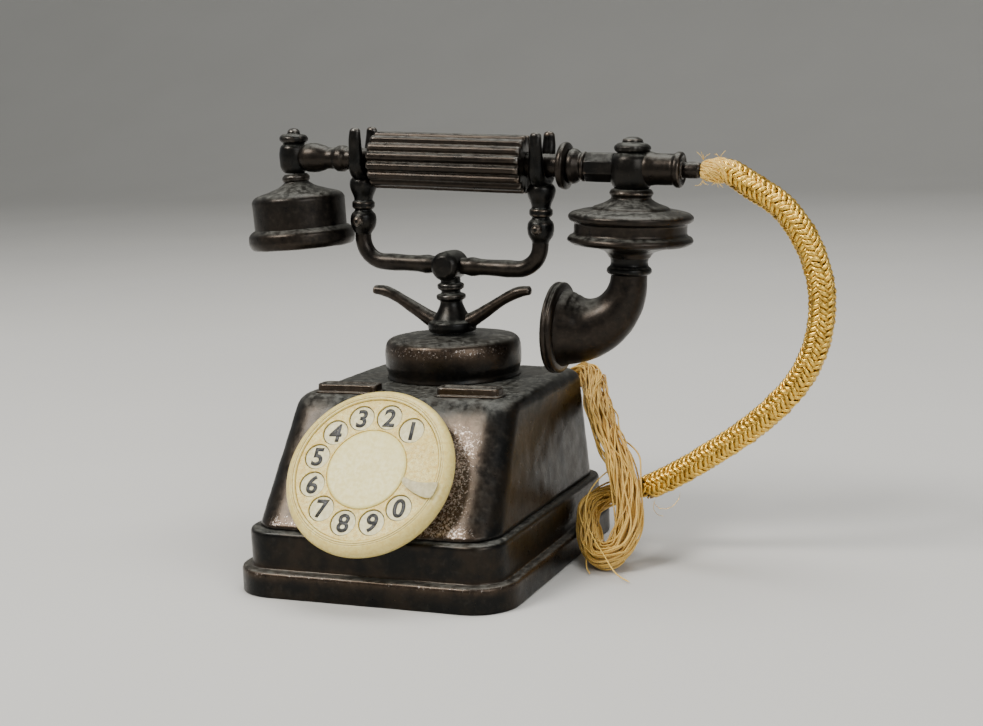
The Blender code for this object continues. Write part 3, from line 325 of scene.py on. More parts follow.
class Nodes:
    """Short names for wiring a procedural material."""

    def __init__(self, name):
        self.made = bpy.data.materials.new(name)
        self.made.use_nodes = True
        self.tree = self.made.node_tree
        self.shader = self.tree.nodes["Principled BSDF"]

    def add(self, kind, **inputs):
        node = self.tree.nodes.new(kind)
        for key, value in inputs.items():
            self.set(node, key, value)
        return node

    def set(self, node, key, value):
        socket = node.inputs[int(key[1:]) if key[0] == "i" and key[1:].isdigit() else key.replace("_", " ")]
        if isinstance(value, bpy.types.NodeSocket):
            self.tree.links.new(value, socket)
        else:
            socket.default_value = value

    def place(self, scale=(1000, 1000, 1000)):
        coordinates = self.add("ShaderNodeTexCoord").outputs["Object"]
        node = self.add("ShaderNodeMapping", Vector=coordinates, Scale=scale)
        return node.outputs["Vector"]

    def noise(self, where, scale, detail=4.0, rough=0.55, distort=0.0):
        node = self.add("ShaderNodeTexNoise", Vector=where, Scale=scale, Detail=detail,
                        Roughness=rough, Distortion=distort)
        return node.outputs["Fac"]

    def fact(self, name):
        node = self.add("ShaderNodeAttribute")
        node.attribute_name = name
        return node.outputs["Fac"]

    def math(self, operation, a, b=0.0, clamp=False):
        node = self.add("ShaderNodeMath", i0=a, i1=b)
        node.operation = operation
        node.use_clamp = clamp
        return node.outputs[0]

    def span(self, value, low, high, to_low=0.0, to_high=1.0):
        node = self.add("ShaderNodeMapRange", Value=value, From_Min=low, From_Max=high,
                        To_Min=to_low, To_Max=to_high)
        node.interpolation_type = "SMOOTHSTEP"
        return node.outputs[0]

    def mix(self, share, a, b):
        node = self.add("ShaderNodeMix")
        node.data_type = "RGBA"
        self.set(node, "i0", share)
        self.set(node, "i6", (*a, 1) if isinstance(a, tuple) else a)
        self.set(node, "i7", (*b, 1) if isinstance(b, tuple) else b)
        return node.outputs[2]

    def bump(self, height, strength, distance=0.0001, onto=None):
        node = self.add("ShaderNodeBump", Height=height, Strength=strength, Distance=distance)
        if onto is not None:
            self.set(node, "Normal", onto)
        return node.outputs["Normal"]

    def done(self, **sockets):
        for key, value in sockets.items():
            if isinstance(value, tuple) and len(value) == 3:
                value = (*value, 1)
            self.set(self.shader, key, value)
        return self.made


def bronze(name, rubbed=1.0, dusty=1.0, brown=0.5):
    """Blackened antique bronze: copper where it is rubbed and where copper bands are painted in as
    highlights, grey dust where it faces up.
    """
    n = Nodes(name)
    where = n.place()
    broad = n.noise(where, 0.16, 4, 0.6)
    middle = n.noise(where, 0.9, 5, 0.62)
    fine = n.noise(where, 4.2, 4, 0.6)
    powder = n.noise(where, 7.5, 5, 0.7)
    speck = n.noise(where, 2.1, 6, 0.80, 0.4)
    streak = n.noise(n.place((900, 900, 260)), 1.0, 5, 0.65)
    rub_and_painted_light = n.fact("rub_and_painted_light")
    tone = n.span(broad, 0.38, 0.62, 0.0, brown)
    colour = n.mix(tone, (0.0105, 0.0105, 0.0100), (0.030, 0.0225, 0.0160))
    colour = n.mix(n.span(middle, 0.5, 0.75, 0, 0.35), colour, (0.046, 0.041, 0.034))
    # Smooth copper tint along the rub mask: real rubbed copper on most pieces, a painted highlight on the
    # plinth's flange band and the drum's shoulder band.
    sheen = n.math("MULTIPLY", rub_and_painted_light, n.span(middle, 0.25, 0.6, 0.25, 0.75), clamp=True)
    colour = n.mix(sheen, colour, (0.135, 0.088, 0.056))
    flecks = n.span(n.math("ADD", speck, n.math("MULTIPLY", rub_and_painted_light, 0.16)), 0.635, 0.70)
    warm = n.mix(n.span(fine, 0.4, 0.6), (0.42, 0.27, 0.19), (0.66, 0.60, 0.55))
    rubbed_here = n.math("MULTIPLY", flecks, n.span(rub_and_painted_light, 0.22, 0.65))
    colour = n.mix(rubbed_here, colour, warm)
    edge = n.math("ADD", n.fact("wear"), n.span(streak, 0.35, 0.7, -0.45, 0.12))
    edge = n.span(edge, 0.2, 0.85, 0, 0.42 * rubbed)
    colour = n.mix(edge, colour, n.mix(n.span(broad, 0.4, 0.6), (0.17, 0.130, 0.098), (0.20, 0.19, 0.175)))
    up = n.span(n.fact("up"), 0.45, 1.0)
    film = n.span(n.math("ADD", middle, n.math("MULTIPLY", powder, 0.6)), 0.58, 1.05, 0.12, 0.72)
    dust = n.math("MULTIPLY", n.math("MULTIPLY", up, film), dusty)
    dust = n.math("ADD", dust, n.math("MULTIPLY", n.fact("hollow"),
                                      n.span(streak, 0.4, 0.7, 0, 0.30 * dusty)),
                  clamp=True)
    colour = n.mix(dust, colour, (0.120, 0.121, 0.106))
    metal = n.span(dust, 0.0, 0.8, 0.88, 0.2)
    shine = n.span(middle, 0.3, 0.7, 0.27, 0.38)
    shine = n.math("ADD", shine, n.math("MULTIPLY", dust, 0.40))
    grain = n.bump(powder, 0.18, 0.00004)
    grain = n.bump(fine, 0.14, 0.00006, grain)
    grain = n.bump(middle, 0.22, 0.00014, grain)
    grain = n.bump(rubbed_here, 0.20, 0.00005, grain)
    return n.done(Base_Color=colour, Metallic=metal, Roughness=shine, Normal=grain)


def ivory(name, kind):
    """Aged cream plastic. The wheel is yellowed and glittery, the cap plain."""
    n = Nodes(name)
    where = n.place()
    broad = n.noise(where, 0.22, 3)
    middle = n.noise(where, 1.6, 5, 0.65)
    grit = n.noise(where, 6.5, 4, 0.7)
    pale, deep = {
        "rim": ((0.80, 0.67, 0.255), (0.70, 0.53, 0.155)),
        "wheel": ((0.86, 0.72, 0.245), (0.74, 0.50, 0.10)),
        "cap": ((0.84, 0.74, 0.30), (0.78, 0.655, 0.225)),
        "disc": ((0.74, 0.67, 0.35), (0.62, 0.53, 0.235)),
        "stop": ((0.52, 0.455, 0.225), (0.42, 0.355, 0.16)),
    }[kind]
    colour = n.mix(n.span(middle, 0.36, 0.66), pale, deep)
    colour = n.mix(n.span(broad, 0.42, 0.62, 0, 0.35), colour, deep)
    rough = 0.26 if kind in ("rim",) else 0.36
    height = middle
    if kind == "wheel":
        glitter = n.span(grit, 0.55, 0.63)
        colour = n.mix(n.math("MULTIPLY", glitter, 0.8), colour, (0.40, 0.225, 0.035))
        pits = n.math("MULTIPLY", n.fact("rub_and_painted_light"), n.span(n.noise(where, 2.4, 5, 0.75, 0.4), 0.60, 0.66))
        colour = n.mix(pits, colour, (0.09, 0.075, 0.04))
        height = n.math("SUBTRACT", grit, n.math("MULTIPLY", pits, 1.4))
    if kind == "disc":
        # The dark line round each number disc is painted shade, under the rim of the wheel's hole.
        colour = n.mix(n.fact("rub_and_painted_light"), (0.11, 0.095, 0.055), colour)
    # Darker brown in concave hollows.
    hollow_darkening = n.math("MULTIPLY", n.fact("hollow"), n.span(middle, 0.3, 0.7, 0.35, 0.85))
    colour = n.mix(hollow_darkening, colour, (0.21, 0.165, 0.085))
    shine = n.span(middle, 0.3, 0.7, rough, rough + 0.12)
    normal = n.bump(height, 0.28 if kind == "wheel" else 0.10, 0.00007)
    made = n.done(Base_Color=colour, Roughness=shine, Normal=normal)
    n.shader.inputs["Subsurface Weight"].default_value = 0.12
    n.shader.inputs["Subsurface Radius"].default_value = (0.0012, 0.0009, 0.0004)
    n.shader.inputs["Subsurface Scale"].default_value = 1.0
    return made


def ink(name):
    n = Nodes(name)
    where = n.place()
    worn = n.span(n.noise(where, 3.5, 4, 0.7), 0.42, 0.68, 0, 0.5)
    colour = n.mix(worn, (0.022, 0.023, 0.025), (0.13, 0.125, 0.11))
    return n.done(Base_Color=colour, Roughness=n.span(worn, 0, 1, 0.45, 0.7),
                  Normal=n.bump(worn, 0.1, 0.00003))


def gold(name):
    """Metallic gold yarn, with bright and shaded strands."""
    n = Nodes(name)
    where = n.place()
    fine = n.noise(where, 3.0, 4, 0.6)
    hair = n.noise(where, 11.0, 3, 0.6)
    strand = n.fact("rub_and_painted_light")
    colour = n.mix(n.span(n.math("ADD", strand, n.math("MULTIPLY", fine, 0.6)), 0.35, 1.15),
                   (0.30, 0.155, 0.018), (0.93, 0.60, 0.11))
    colour = n.mix(n.span(fine, 0.62, 0.78, 0, 0.5), colour, (0.98, 0.78, 0.30))
    shine = n.span(hair, 0.3, 0.7, 0.16, 0.36)
    return n.done(Base_Color=colour, Metallic=n.span(strand, 0, 1, 0.80, 0.95), Roughness=shine,
                  Normal=n.bump(hair, 0.35, 0.00008))


def dark_core(name):
    n = Nodes(name)
    where = n.place()
    fine = n.noise(where, 5, 3)
    colour = n.mix(n.span(fine, 0.35, 0.65), (0.012, 0.007, 0.003), (0.055, 0.030, 0.008))
    return n.done(Base_Color=colour, Roughness=n.span(fine, 0.3, 0.7, 0.6, 0.85),
                  Normal=n.bump(fine, 0.4, 0.0001))


def yarn(name):
    """Yellow sewing thread: silky, with darker fibres between paler ones."""
    n = Nodes(name)
    where = n.place()
    fine = n.noise(where, 5.0, 4, 0.6)
    broad = n.noise(where, 0.5, 3)
    strand = n.fact("rub_and_painted_light")
    colour = n.mix(strand, (0.46, 0.235, 0.025), (0.88, 0.56, 0.105))
    colour = n.mix(n.span(fine, 0.4, 0.7, 0, 0.5), colour, (0.95, 0.70, 0.22))
    colour = n.mix(n.span(broad, 0.5, 0.7, 0, 0.3), colour, (0.40, 0.21, 0.03))
    return n.done(Base_Color=colour, Roughness=n.span(fine, 0.3, 0.7, 0.42, 0.62),
                  Normal=n.bump(fine, 0.3, 0.00005), Sheen_Weight=0.2, Sheen_Roughness=0.4)


def steel(name):
    n = Nodes(name)
    where = n.place()
    brushed = n.noise(n.place((120, 2600, 900)), 1.0, 5, 0.6)
    spots = n.noise(where, 0.7, 5, 0.7)
    colour = n.mix(n.span(spots, 0.45, 0.7, 0, 0.6), (0.24, 0.235, 0.225), (0.10, 0.085, 0.07))
    return n.done(Base_Color=colour, Metallic=n.span(spots, 0.3, 0.7, 0.98, 0.8),
                  Roughness=n.span(brushed, 0.3, 0.7, 0.28, 0.5), Normal=n.bump(brushed, 0.12, 0.00003))


def black_plastic(name):
    n = Nodes(name)
    where = n.place()
    grain = n.noise(where, 3.2, 4)
    colour = n.mix(n.span(grain, 0.4, 0.7, 0, 0.6), (0.012, 0.012, 0.012), (0.035, 0.033, 0.030))
    return n.done(Base_Color=colour, Roughness=n.span(grain, 0.3, 0.7, 0.42, 0.62),
                  Normal=n.bump(grain, 0.15, 0.00005))

BRONZE = bronze("bronze")
BRONZE_TOP = bronze("bronze_handset", rubbed=1.1, dusty=1.25, brown=0.25)
BRONZE_CASE = bronze("bronze_case", rubbed=1.25, dusty=1.15, brown=0.75)
STEEL = steel("steel")

# ------------------------------------------------------------------ camera, light and floor

AZIMUTH, ELEVATION, ROLL = math.radians(22), math.radians(9), math.radians(-2.11)
TARGET, DISTANCE = Vector((0.0116, 0, 0.03416)), 0.26755
LENS = 36 * 1600 / 983

back = Vector((math.sin(AZIMUTH) * math.cos(ELEVATION), -math.cos(AZIMUTH) * math.cos(ELEVATION),
               math.sin(ELEVATION)))
level = Vector((0, 0, 1)).cross(back).normalized()
upright = back.cross(level)
across = level * math.cos(ROLL) + upright * math.sin(ROLL)
upward = -level * math.sin(ROLL) + upright * math.cos(ROLL)
lens = bpy.data.cameras.new("camera")
lens.sensor_width = 36
lens.lens = LENS
lens.clip_start = 0.01
camera = bpy.data.objects.new("camera", lens)
bpy.context.scene.collection.objects.link(camera)
camera.matrix_world = Matrix.Translation(TARGET + back * DISTANCE) @ Matrix(
    (across, upward, back)).transposed().to_4x4()
bpy.context.scene.camera = camera


def area_light(name, place, aim, size, power, tint):
    data = bpy.data.lights.new(name, "AREA")
    data.shape = "RECTANGLE"
    data.size, data.size_y = size
    data.energy = power
    data.color = tint
    lamp = bpy.data.objects.new(name, data)
    bpy.context.scene.collection.objects.link(lamp)
    away = (Vector(place) - Vector(aim)).normalized()
    lamp.matrix_world = Matrix.Translation(place) @ away.to_track_quat("Z", "Y").to_matrix().to_4x4()


area_light("key", (-0.35, -0.42, 0.62), (0, 0, 0.04), (0.30, 0.22), 6.4, (1.0, 0.975, 0.93))
area_light("fill", (0.55, -0.45, 0.35), (0, 0, 0.04), (0.4, 0.3), 2.2, (0.94, 0.97, 1.0))
area_light("overhead", (0.05, 0.15, 0.75), (0, 0, 0.03), (0.6, 0.4), 4.4, (1.0, 0.99, 0.97))

world = bpy.data.worlds.new("studio")
bpy.context.scene.world = world
world.use_nodes = True
world.node_tree.nodes["Background"].inputs["Color"].default_value = (0.60, 0.61, 0.60, 1)
world.node_tree.nodes["Background"].inputs["Strength"].default_value = 0.55


def make_floor():
    """A pale floor that sweeps up into a backdrop far behind."""
    bend = [(-1.6, 0.0), (1.1, 0.0)]
    bend += [(1.1 + 0.9 * math.sin(a),
              0.9 - 0.9 * math.cos(a)) for a in (math.radians(6 * k) for k in range(1, 16))]
    bend.append((2.0, 2.6))
    verts = [(x, y, z) for y, z in bend for x in (-2.4, 2.4)]
    faces = [(2 * i, 2 * i + 1, 2 * i + 3, 2 * i + 2) for i in range(len(bend) - 1)]
    mesh = bpy.data.meshes.new("floor")
    mesh.from_pydata(verts, [], faces)
    mesh.shade_smooth()
    n = Nodes("floor")
    where = n.place((8, 8, 8))
    shade = n.noise(where, 1.0, 3)
    mesh.materials.append(n.done(
        Base_Color=n.mix(shade, (0.55, 0.54, 0.515), (0.60, 0.59, 0.565)),
        Roughness=n.span(shade, 0, 1, 0.7, 0.85), Normal=n.bump(shade, 0.02)))
    floor = bpy.data.objects.new("floor", mesh)
    bpy.context.scene.collection.objects.link(floor)


make_floor()

# ------------------------------------------------------------------ cord

BRAID_ROUTE = (
    (53.2, 11, 62.5), (58.3, 11, 59.0), (62.2, 11, 53.5), (64.5, 11, 46.4), (64.3, 11, 39.1),
    (62.0, 11, 32.5), (57.9, 11, 27.1), (51.9, 11, 21.8), (44.2, 11, 16.6), (38.5, 11, 13.2),
    (34.5, 11, 11.3),
)
THREAD_ROUTE = (
    (29.2, 13.1, 9.9), (26.4, 12.5, 8.8), (24.9, 9.4, 7.2), (26.2, 5.0, 4.8), (28.6, 1.0, 2.9),
    (31.2, -1.4, 2.5), (33.1, 0.2, 3.6), (34.1, 2.4, 6.8), (33.2, 5.5, 10.7), (30.5, 9.8, 15.4),
    (26.7, 14.8, 20.2), (23.2, 20.8, 23.8), (20.8, 26.2, 26.4), (17.8, 30.8, 27.4),
)
NUB_END = HANDSET @ Vector((44.4, 0, 0))
ONWARD = HANDSET.to_3x3() @ Vector((1, 0, 0))
BRAID_LINE = smooth_line([NUB_END, NUB_END + 4.4 * ONWARD, *BRAID_ROUTE], 330)
BACK_LEAN = math.atan(2.0 / 19.2)
OUT = Vector((0, math.cos(BACK_LEAN), math.sin(BACK_LEAN)))
GLAND = Vector((13, 26.6 - 2.0 * 14.2 / 19.2, 25))
SLEEVE_END = Vector(BRAID_LINE[-1])
THREAD_LINE = smooth_line(
    [SLEEVE_END, *THREAD_ROUTE, GLAND + 6.0 * OUT, GLAND + 2.2 * OUT, GLAND - 0.5 * OUT], 170)


def strand_tubes(lines, widths, thicks, tones, sides=6):
    """Thin closed strands; tones are kept per point for the material."""
    verts, faces, values = [], [], []
    for line, (side, out), width, thick, tone in zip(*lines, widths, thicks, tones):
        base = len(verts)
        count = len(line)
        for i in range(count):
            shrink = 0.15 if i in (0, count - 1) else 1.0
            for k in range(sides):
                t = 2 * math.pi * (k + 0.5) / sides
                reach = side[i] * width * math.cos(t) + out[i] * thick * math.sin(t)
                verts.append(tuple(line[i] + shrink * reach))
                values.append(tone[i])
        faces += [tuple(base + v for v in f) for f in grid_faces(count, sides)]
        faces.append(tuple(base + k for k in range(sides)))
        faces.append(tuple(base + (count - 1) * sides + k for k in reversed(range(sides))))
    return verts, faces, values


def stroke(points):
    """A strand's own directions, found from its line."""
    line, tangent, u, v = frames(points)
    return line, (u, v)


def wave(seed, places, size=1.0):
    """Smooth seeded wander, about -1 to 1."""
    return np.array([noise.noise(Vector((seed * 7.31, s / size, seed * 1.7))) for s in places]) * 1.9


def soft_mesh(name, shapes, finishes):
    """One mesh of several strands shapes, each with its own finish."""
    verts, faces = joined(*[shape[:2] for shape in shapes])
    values = [value for shape in shapes for value in shape[2]]
    mesh = bpy.data.meshes.new(name)
    mesh.from_pydata([tuple(c * MM for c in v) for v in verts], [], faces)
    mesh.attributes.new("rub_and_painted_light", "FLOAT", "POINT").data.foreach_set("value", np.array(values, np.float32))
    mesh.shade_smooth()
    for finish in finishes:
        mesh.materials.append(finish)
    slots = [i for i, shape in enumerate(shapes) for _ in shape[1]]
    mesh.polygons.foreach_set("material_index", np.array(slots, np.int32))
    obj = bpy.data.objects.new(name, mesh)
    bpy.context.scene.collection.objects.link(obj)
    return obj


def braid_shape():
    """Eight flat gold strands wound each way, two over and two under, round a dark core."""
    line, tangent, u, v = frames(BRAID_LINE)
    step = np.r_[0, np.cumsum(np.linalg.norm(np.diff(line, axis=0), axis=1))]
    wound, pitch, middle, swing = 8, 7.4, 1.86, 0.20
    first = int(np.searchsorted(step, 0.7))
    tail = len(line)
    lines, sides, widths, thicks, tones = [], [], [], [], []
    for way in (1, -1):
        for i in range(wound):
            a, b = first + (i * 5 + 3 * way) % 9, tail - (i * 7 + way) % 5
            s = step[a:b]
            crossing = 2 * wound * s / pitch
            phase = crossing + 2 * i - 0.5 if way > 0 else 2 * i - crossing - 0.5
            over = np.cos(2 * np.pi * phase / 4) * way
            seed = i + (40 if way > 0 else 90)
            angle = way * 2 * np.pi * s / pitch + 2 * np.pi * i / wound + 0.11 * wave(seed, s, 1.9)
            swell = np.interp(s, (0, 3.4, 6.5), (0.60, 0.87, 1.0))
            radius = (middle + swing * over + 0.09 * wave(seed + 3, s, 1.1)) * swell
            outward = u[a:b] * np.cos(angle)[:, None] + v[a:b] * np.sin(angle)[:, None]
            route = line[a:b] + outward * radius[:, None]
            along = np.gradient(route, axis=0)
            along /= np.linalg.norm(along, axis=1)[:, None]
            across_ = np.cross(along, outward)
            lines.append(route)
            sides.append((across_, outward))
            widths.append(0.40 + 0.06 * noise.noise(Vector((seed, 0.3, 0))))
            thicks.append(0.21)
            base = 0.5 + 0.35 * noise.noise(Vector((seed * 3.7, 1.1, 2.0)))
            # Strands are painted darker where they dip under the crossing strands (painted shade); the rest
            # of the tone varies at random.
            tones.append(np.clip(base + 0.28 * over + 0.22 * wave(seed + 9, s, 0.9), 0, 1))
    return strand_tubes((lines, sides), widths, thicks, tones)


def core_shape():
    size = np.interp(np.linspace(0, 1, len(BRAID_LINE)), (0, 0.03, 0.08, 1), (1.2, 1.45, 1.5, 1.5))
    verts, faces = swept(BRAID_LINE, size, 20, cap=0.1)
    return verts, faces, [0.0] * len(verts)


def thread_shape():
    """A bundle of loose yarns that follows the thread's line."""
    line, tangent, u, v = frames(THREAD_LINE)
    step = np.r_[0, np.cumsum(np.linalg.norm(np.diff(line, axis=0), axis=1))]
    total = step[-1]
    share = step / total
    size = np.interp(share, (0, 0.05, 0.2, 0.36, 0.5, 0.66, 0.8, 0.93, 0.97, 1),
                     (1.45, 1.8, 2.05, 2.35, 2.45, 2.35, 2.2, 1.75, 1.5, 1.4))
    lines, sides, widths, thicks, tones = [], [], [], [], []
    yarns = 84
    for i in range(yarns):
        rank = math.sqrt((i + 0.5) / yarns)
        start = i * 2.39996
        angle = start + 1.5 * step / total * 2 * np.pi * 0.55 + 0.55 * wave(i + 5, step, 9.0)
        reach = size * np.clip(rank + 0.16 * wave(i + 70, step, 6.0), 0.03, 1.12)
        if i % 19 == 7:
            bow = np.exp(-((share - 0.80 + 0.004 * i) / 0.07) ** 2)
            reach = reach + 1.5 * bow
        outward = u * np.cos(angle)[:, None] + v * np.sin(angle)[:, None]
        route = line + outward * reach[:, None]
        route[:, 2] = np.maximum(route[:, 2], 0.22)
        route[:, 0] = np.where((np.abs(route[:, 1]) < 24) & (route[:, 2] < 10.6),
                               np.maximum(route[:, 0], 22.55), route[:, 0])
        route, (side, out) = stroke(route)
        lines.append(route)
        sides.append((side, out))
        width = 0.150 + 0.05 * abs(noise.noise(Vector((i * 1.9, 3.1, 0.4))))
        widths.append(width)
        thicks.append(width * 0.9)
        tone = 0.55 + 0.5 * noise.noise(Vector((i * 2.3, 0.7, 5.0)))
        # Yarns deep in the bundle are painted darker (painted shade); the rest of the tone varies at random.
        tones.append(np.clip(tone * (0.55 + 0.45 * rank) + 0.18 * wave(i + 200, step, 2.0), 0, 1))
    return strand_tubes((lines, sides), widths, thicks, tones, 5)


def loose_threads():
    """Stray yarns: one across the loop, one out on the floor, and one bowed off the bundle."""
    routes = (
        ((29.6, 10.4, 15.2), (27.2, 8.2, 13.2), (25.9, 5.6, 10.6), (26.6, 2.4, 8.2), (28.8, -1.4, 6.2),
         (31.8, -4.2, 3.6), (34.4, -6.4, 1.4), (37.2, -7.6, 0.35)),
        ((25.6, 7.0, 6.6), (26.9, 3.0, 4.4), (27.6, -0.6, 2.2), (28.4, -3.0, 0.9), (29.5, -4.6, 0.3)),
        ((22.9, 21.4, 23.4), (23.6, 17.4, 19.4), (25.6, 13.6, 16.6), (28.0, 11.0, 14.8)),
        ((31.0, 8.4, 17.6), (32.6, 6.6, 14.8), (33.7, 4.2, 11.2), (33.6, 2.0, 8.0)),
    )
    lines, sides = [], []
    for points in routes:
        line, directions = stroke(smooth_line(points, 46))
        lines.append(line)
        sides.append(directions)
    return strand_tubes((lines, sides), [0.12] * 4, [0.12] * 4,
                        [np.full(46, t) for t in (0.8, 0.6, 0.9, 0.7)])


def whipping_shape():
    """A tangled cone of yarn where the sleeve starts on the nub."""
    line, tangent, u, v = frames(BRAID_LINE[:36])
    step = np.r_[0, np.cumsum(np.linalg.norm(np.diff(line, axis=0), axis=1))]
    lines, sides, tones = [], [], []
    yarns = 70
    for i in range(yarns):
        seed = i * 3.3 + 11
        angle = i * 2.39996 + (0.25 + 0.5 * (i % 3)) * step / 3 + 0.5 * wave(seed, step, 2.4)
        size = np.interp(step, (0, 0.8, 2.6, 5.0, 8.6), (1.25, 1.62, 2.0, 1.98, 1.75))
        reach = size * (0.86 + 0.10 * (i % 4) / 3) + 0.16 * wave(seed + 2, step, 1.6)
        last = 14 + (i * 7) % 15
        outward = u * np.cos(angle)[:, None] + v * np.sin(angle)[:, None]
        route = (line + outward * reach[:, None])[: last]
        fine, directions = stroke(smooth_line([Vector(p) for p in route[::3]], 26))
        lines.append(fine)
        sides.append(directions)
        tones.append(np.full(26, 0.45 + 0.5 * ((i * 5) % 7) / 7))
    for i in range(26):
        seed = i * 5.9 + 3
        place = 2 + (i * 11) % 22
        angle = i * 2.1
        outward = u[place] * math.cos(angle) + v[place] * math.sin(angle)
        drift = tangent[place] * math.sin(i * 1.3)
        base = line[place] + outward * 1.9
        high = 0.7 + 1.1 * ((i * 7) % 10) / 10
        points = [base, base + outward * high * 0.6 + drift * 0.4,
                  base + outward * high + drift * 1.1 + 0.5 * np.cross(outward,
                                                                       tangent[place]) * math.sin(seed)]
        fine, directions = stroke(smooth_line(points, 26))
        lines.append(fine)
        sides.append(directions)
        tones.append(np.full(26, 0.9))
    count = len(lines)
    widths = [0.17] * yarns + [0.035] * (count - yarns)
    verts, faces, values = strand_tubes((lines, sides), widths, widths, tones, 5)
    heart_size = np.interp(step, (0, 0.8, 2.6, 4.2, 5.4), (1.15, 1.50, 1.86, 1.80, 1.3))
    inside = int(np.searchsorted(step, 5.4))
    heart = swept(line[:inside], heart_size[:inside], 20, cap=0.1)
    return *joined((verts, faces), heart), values + [0.35] * len(heart[0])


def fringe_shape():
    """The sleeve's ragged dark cut end, and a few short wires that stand off it."""
    line, tangent, u, v = frames(BRAID_LINE[-30:])
    lines, sides, tones = [], [], []
    for i in range(34):
        angle = i * 2.39996
        outward = u[-1] * math.cos(angle) + v[-1] * math.sin(angle)
        reach = 1.1 + 0.8 * ((i * 3) % 5) / 5
        lean = 0.3 + 0.9 * ((i * 7) % 9) / 9
        base = line[-4] + outward * reach
        points = [base, base + tangent[-1] * lean * 0.7 + outward * 0.15,
                  base + tangent[-1] * lean + outward * (0.25 + 0.3 * math.sin(i * 2.2))]
        fine, directions = stroke(smooth_line(points, 8))
        lines.append(fine)
        sides.append(directions)
        tones.append(np.full(8, 0.15 + 0.5 * (i % 4 == 0)))
    for points in (
        ((36.2, 9.6, 9.6), (37.6, 8.6, 8.6), (39.6, 8.2, 8.9), (41.0, 8.6, 10.2), (41.2, 9.2, 11.6)),
        ((36.8, 9.2, 10.0), (36.6, 8.6, 8.6), (37.4, 8.3, 7.6), (38.6, 8.4, 7.3)),
    ):
        fine, directions = stroke(smooth_line(points, 8))
        lines.append(fine)
        sides.append(directions)
        tones.append(np.full(8, 0.9))
    widths = [0.13] * 34 + [0.045] * 2
    return strand_tubes((lines, sides), widths, widths, tones, 5)


GOLD, YARN = gold("gold_braid"), yarn("yellow_yarn")
braid = braid_shape()
core = core_shape()
sleeve = soft_mesh("cord_sleeve", [braid, core], [GOLD, dark_core("cord_core")])
threads = soft_mesh("cord_threads", [thread_shape()], [YARN])
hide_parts("braided_cord")
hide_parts("thread_core")
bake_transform(sleeve)
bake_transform(threads)
for name, shape, finish, body, slot in (
    ("cord_whipping", whipping_shape(), YARN, "handset", "thread"),
    ("cord_fringe", fringe_shape(), GOLD, "yoke", "gold_braid"),
    ("stray_threads", loose_threads(), YARN, "base", "thread"),
):
    obj = soft_mesh(name, [shape], [finish])
    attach(obj, body)

# ------------------------------------------------------------------ base and case


def ring(half_x, front, rear, corner, z, corner_points=10, longest=0.8):
    """Points round a rounded rectangle, closely spaced."""
    points = []
    for x, y, start in ((half_x - corner, rear - corner, 0), (-half_x + corner, rear - corner, 90),
                        (-half_x + corner, front + corner, 180), (half_x - corner, front + corner, 270)):
        for k in range(corner_points + 1):
            a = math.radians(start + 90 * k / corner_points)
            points.append((x + corner * math.cos(a), y + corner * math.sin(a)))
    sides = (round(2 * 24 / longest), round(2 * 29.5 / longest))
    made = []
    for i, p in enumerate(points):
        made.append((*p, z))
        if i % (corner_points + 1) == corner_points:
            q = points[(i + 1) % len(points)]
            count = sides[(i // (corner_points + 1)) % 2]
            made += [(p[0] + (q[0] - p[0]) * k / count, p[1] + (q[1] - p[1]) * k / count, z)
                     for k in range(1, count)]
    return made


def make_plinth():
    outside = rounded([
        (0, 0, 0.35), (0, 4.3, 1.5), (1.75, 4.25, 0.35), (1.7, 10.5, 1.0), (4.2, 10.5, 0.3),
        (4.2, 1.5, 0), (1.7, 1.5, 0), (1.7, 0, 0.15),
    ], closed=True, steps=6)
    levels = finer(outside, 0.45, True)
    rings = []
    for inset, z in levels:
        corner = 7 - inset if inset < 4.19 else 9.5
        rings.append(ring(24 - inset, -29.5 + inset, 29.5 - inset, corner, z))
    return lofted(rings, loop=True)


def slope_rub(p):
    """Where the front slope's finish is rubbed to bare copper."""
    if p.y > 2 or p.z < 10.9:
        return 0.0
    facing = 1.0 if abs(p.x) < 17 else max(0.0, 1 - (abs(p.x) - 17) / 2.5)
    centre = 12.0 + max(0.0, 14 - p.z) * -0.9
    right = math.exp(-(((p.x - centre) / 4.4) ** 2)) * min(1, max(0, (28.2 - p.z) / 4))
    foot = math.exp(-(((p.z - 11.4) / 1.3) ** 2)) * (0.75 if p.x > 0 else 0.5)
    left = 0.22 * math.exp(-(((p.x + 16) / 3) ** 2))
    return facing * min(1.0, right + foot + left)


def case_level(z, inset=0.0, front_inset=0.0, corner_cut=0.0):
    share = (z - 10.8) / 19.2
    corner = max(0.4, 5.5 + share * (4.2 - 5.5) - corner_cut)
    return ring(21.1 - share * 1.4 - inset, -26.6 + (z - 10.8) / math.tan(math.radians(53)) + front_inset,
                26.6 - share * 2.0 - inset, corner, z)


def make_case():
    inner = [case_level(z, 1.6, 2.0, 0.8) for z in (28.4, 20.0, 10.55)]
    cover = [tuple(np.array(p) * (0.02, 0.02, 1) + (0, 0.0, 0)) for p in inner[0]]
    rings = [cover] + inner + [case_level(10.55, 0.35, 0.35, 0.2), case_level(10.75)]
    rings += [case_level(z) for z in np.linspace(11.3, 27.6, 30)]
    for k in range(9):
        a = math.radians(90 * k / 8)
        inset = 2.1 * (1 - math.cos(a))
        rings.append(case_level(27.9 + 2.1 * math.sin(a), inset, inset * 0.55, inset * 0.5))
    top = np.array(rings[-1])
    middle = np.array((0, 6.0, 30.0))
    for share in np.linspace(0.06, 0.97, 18):
        rings.append([tuple(p) for p in top + (middle - top) * share])
    return lofted(rings)


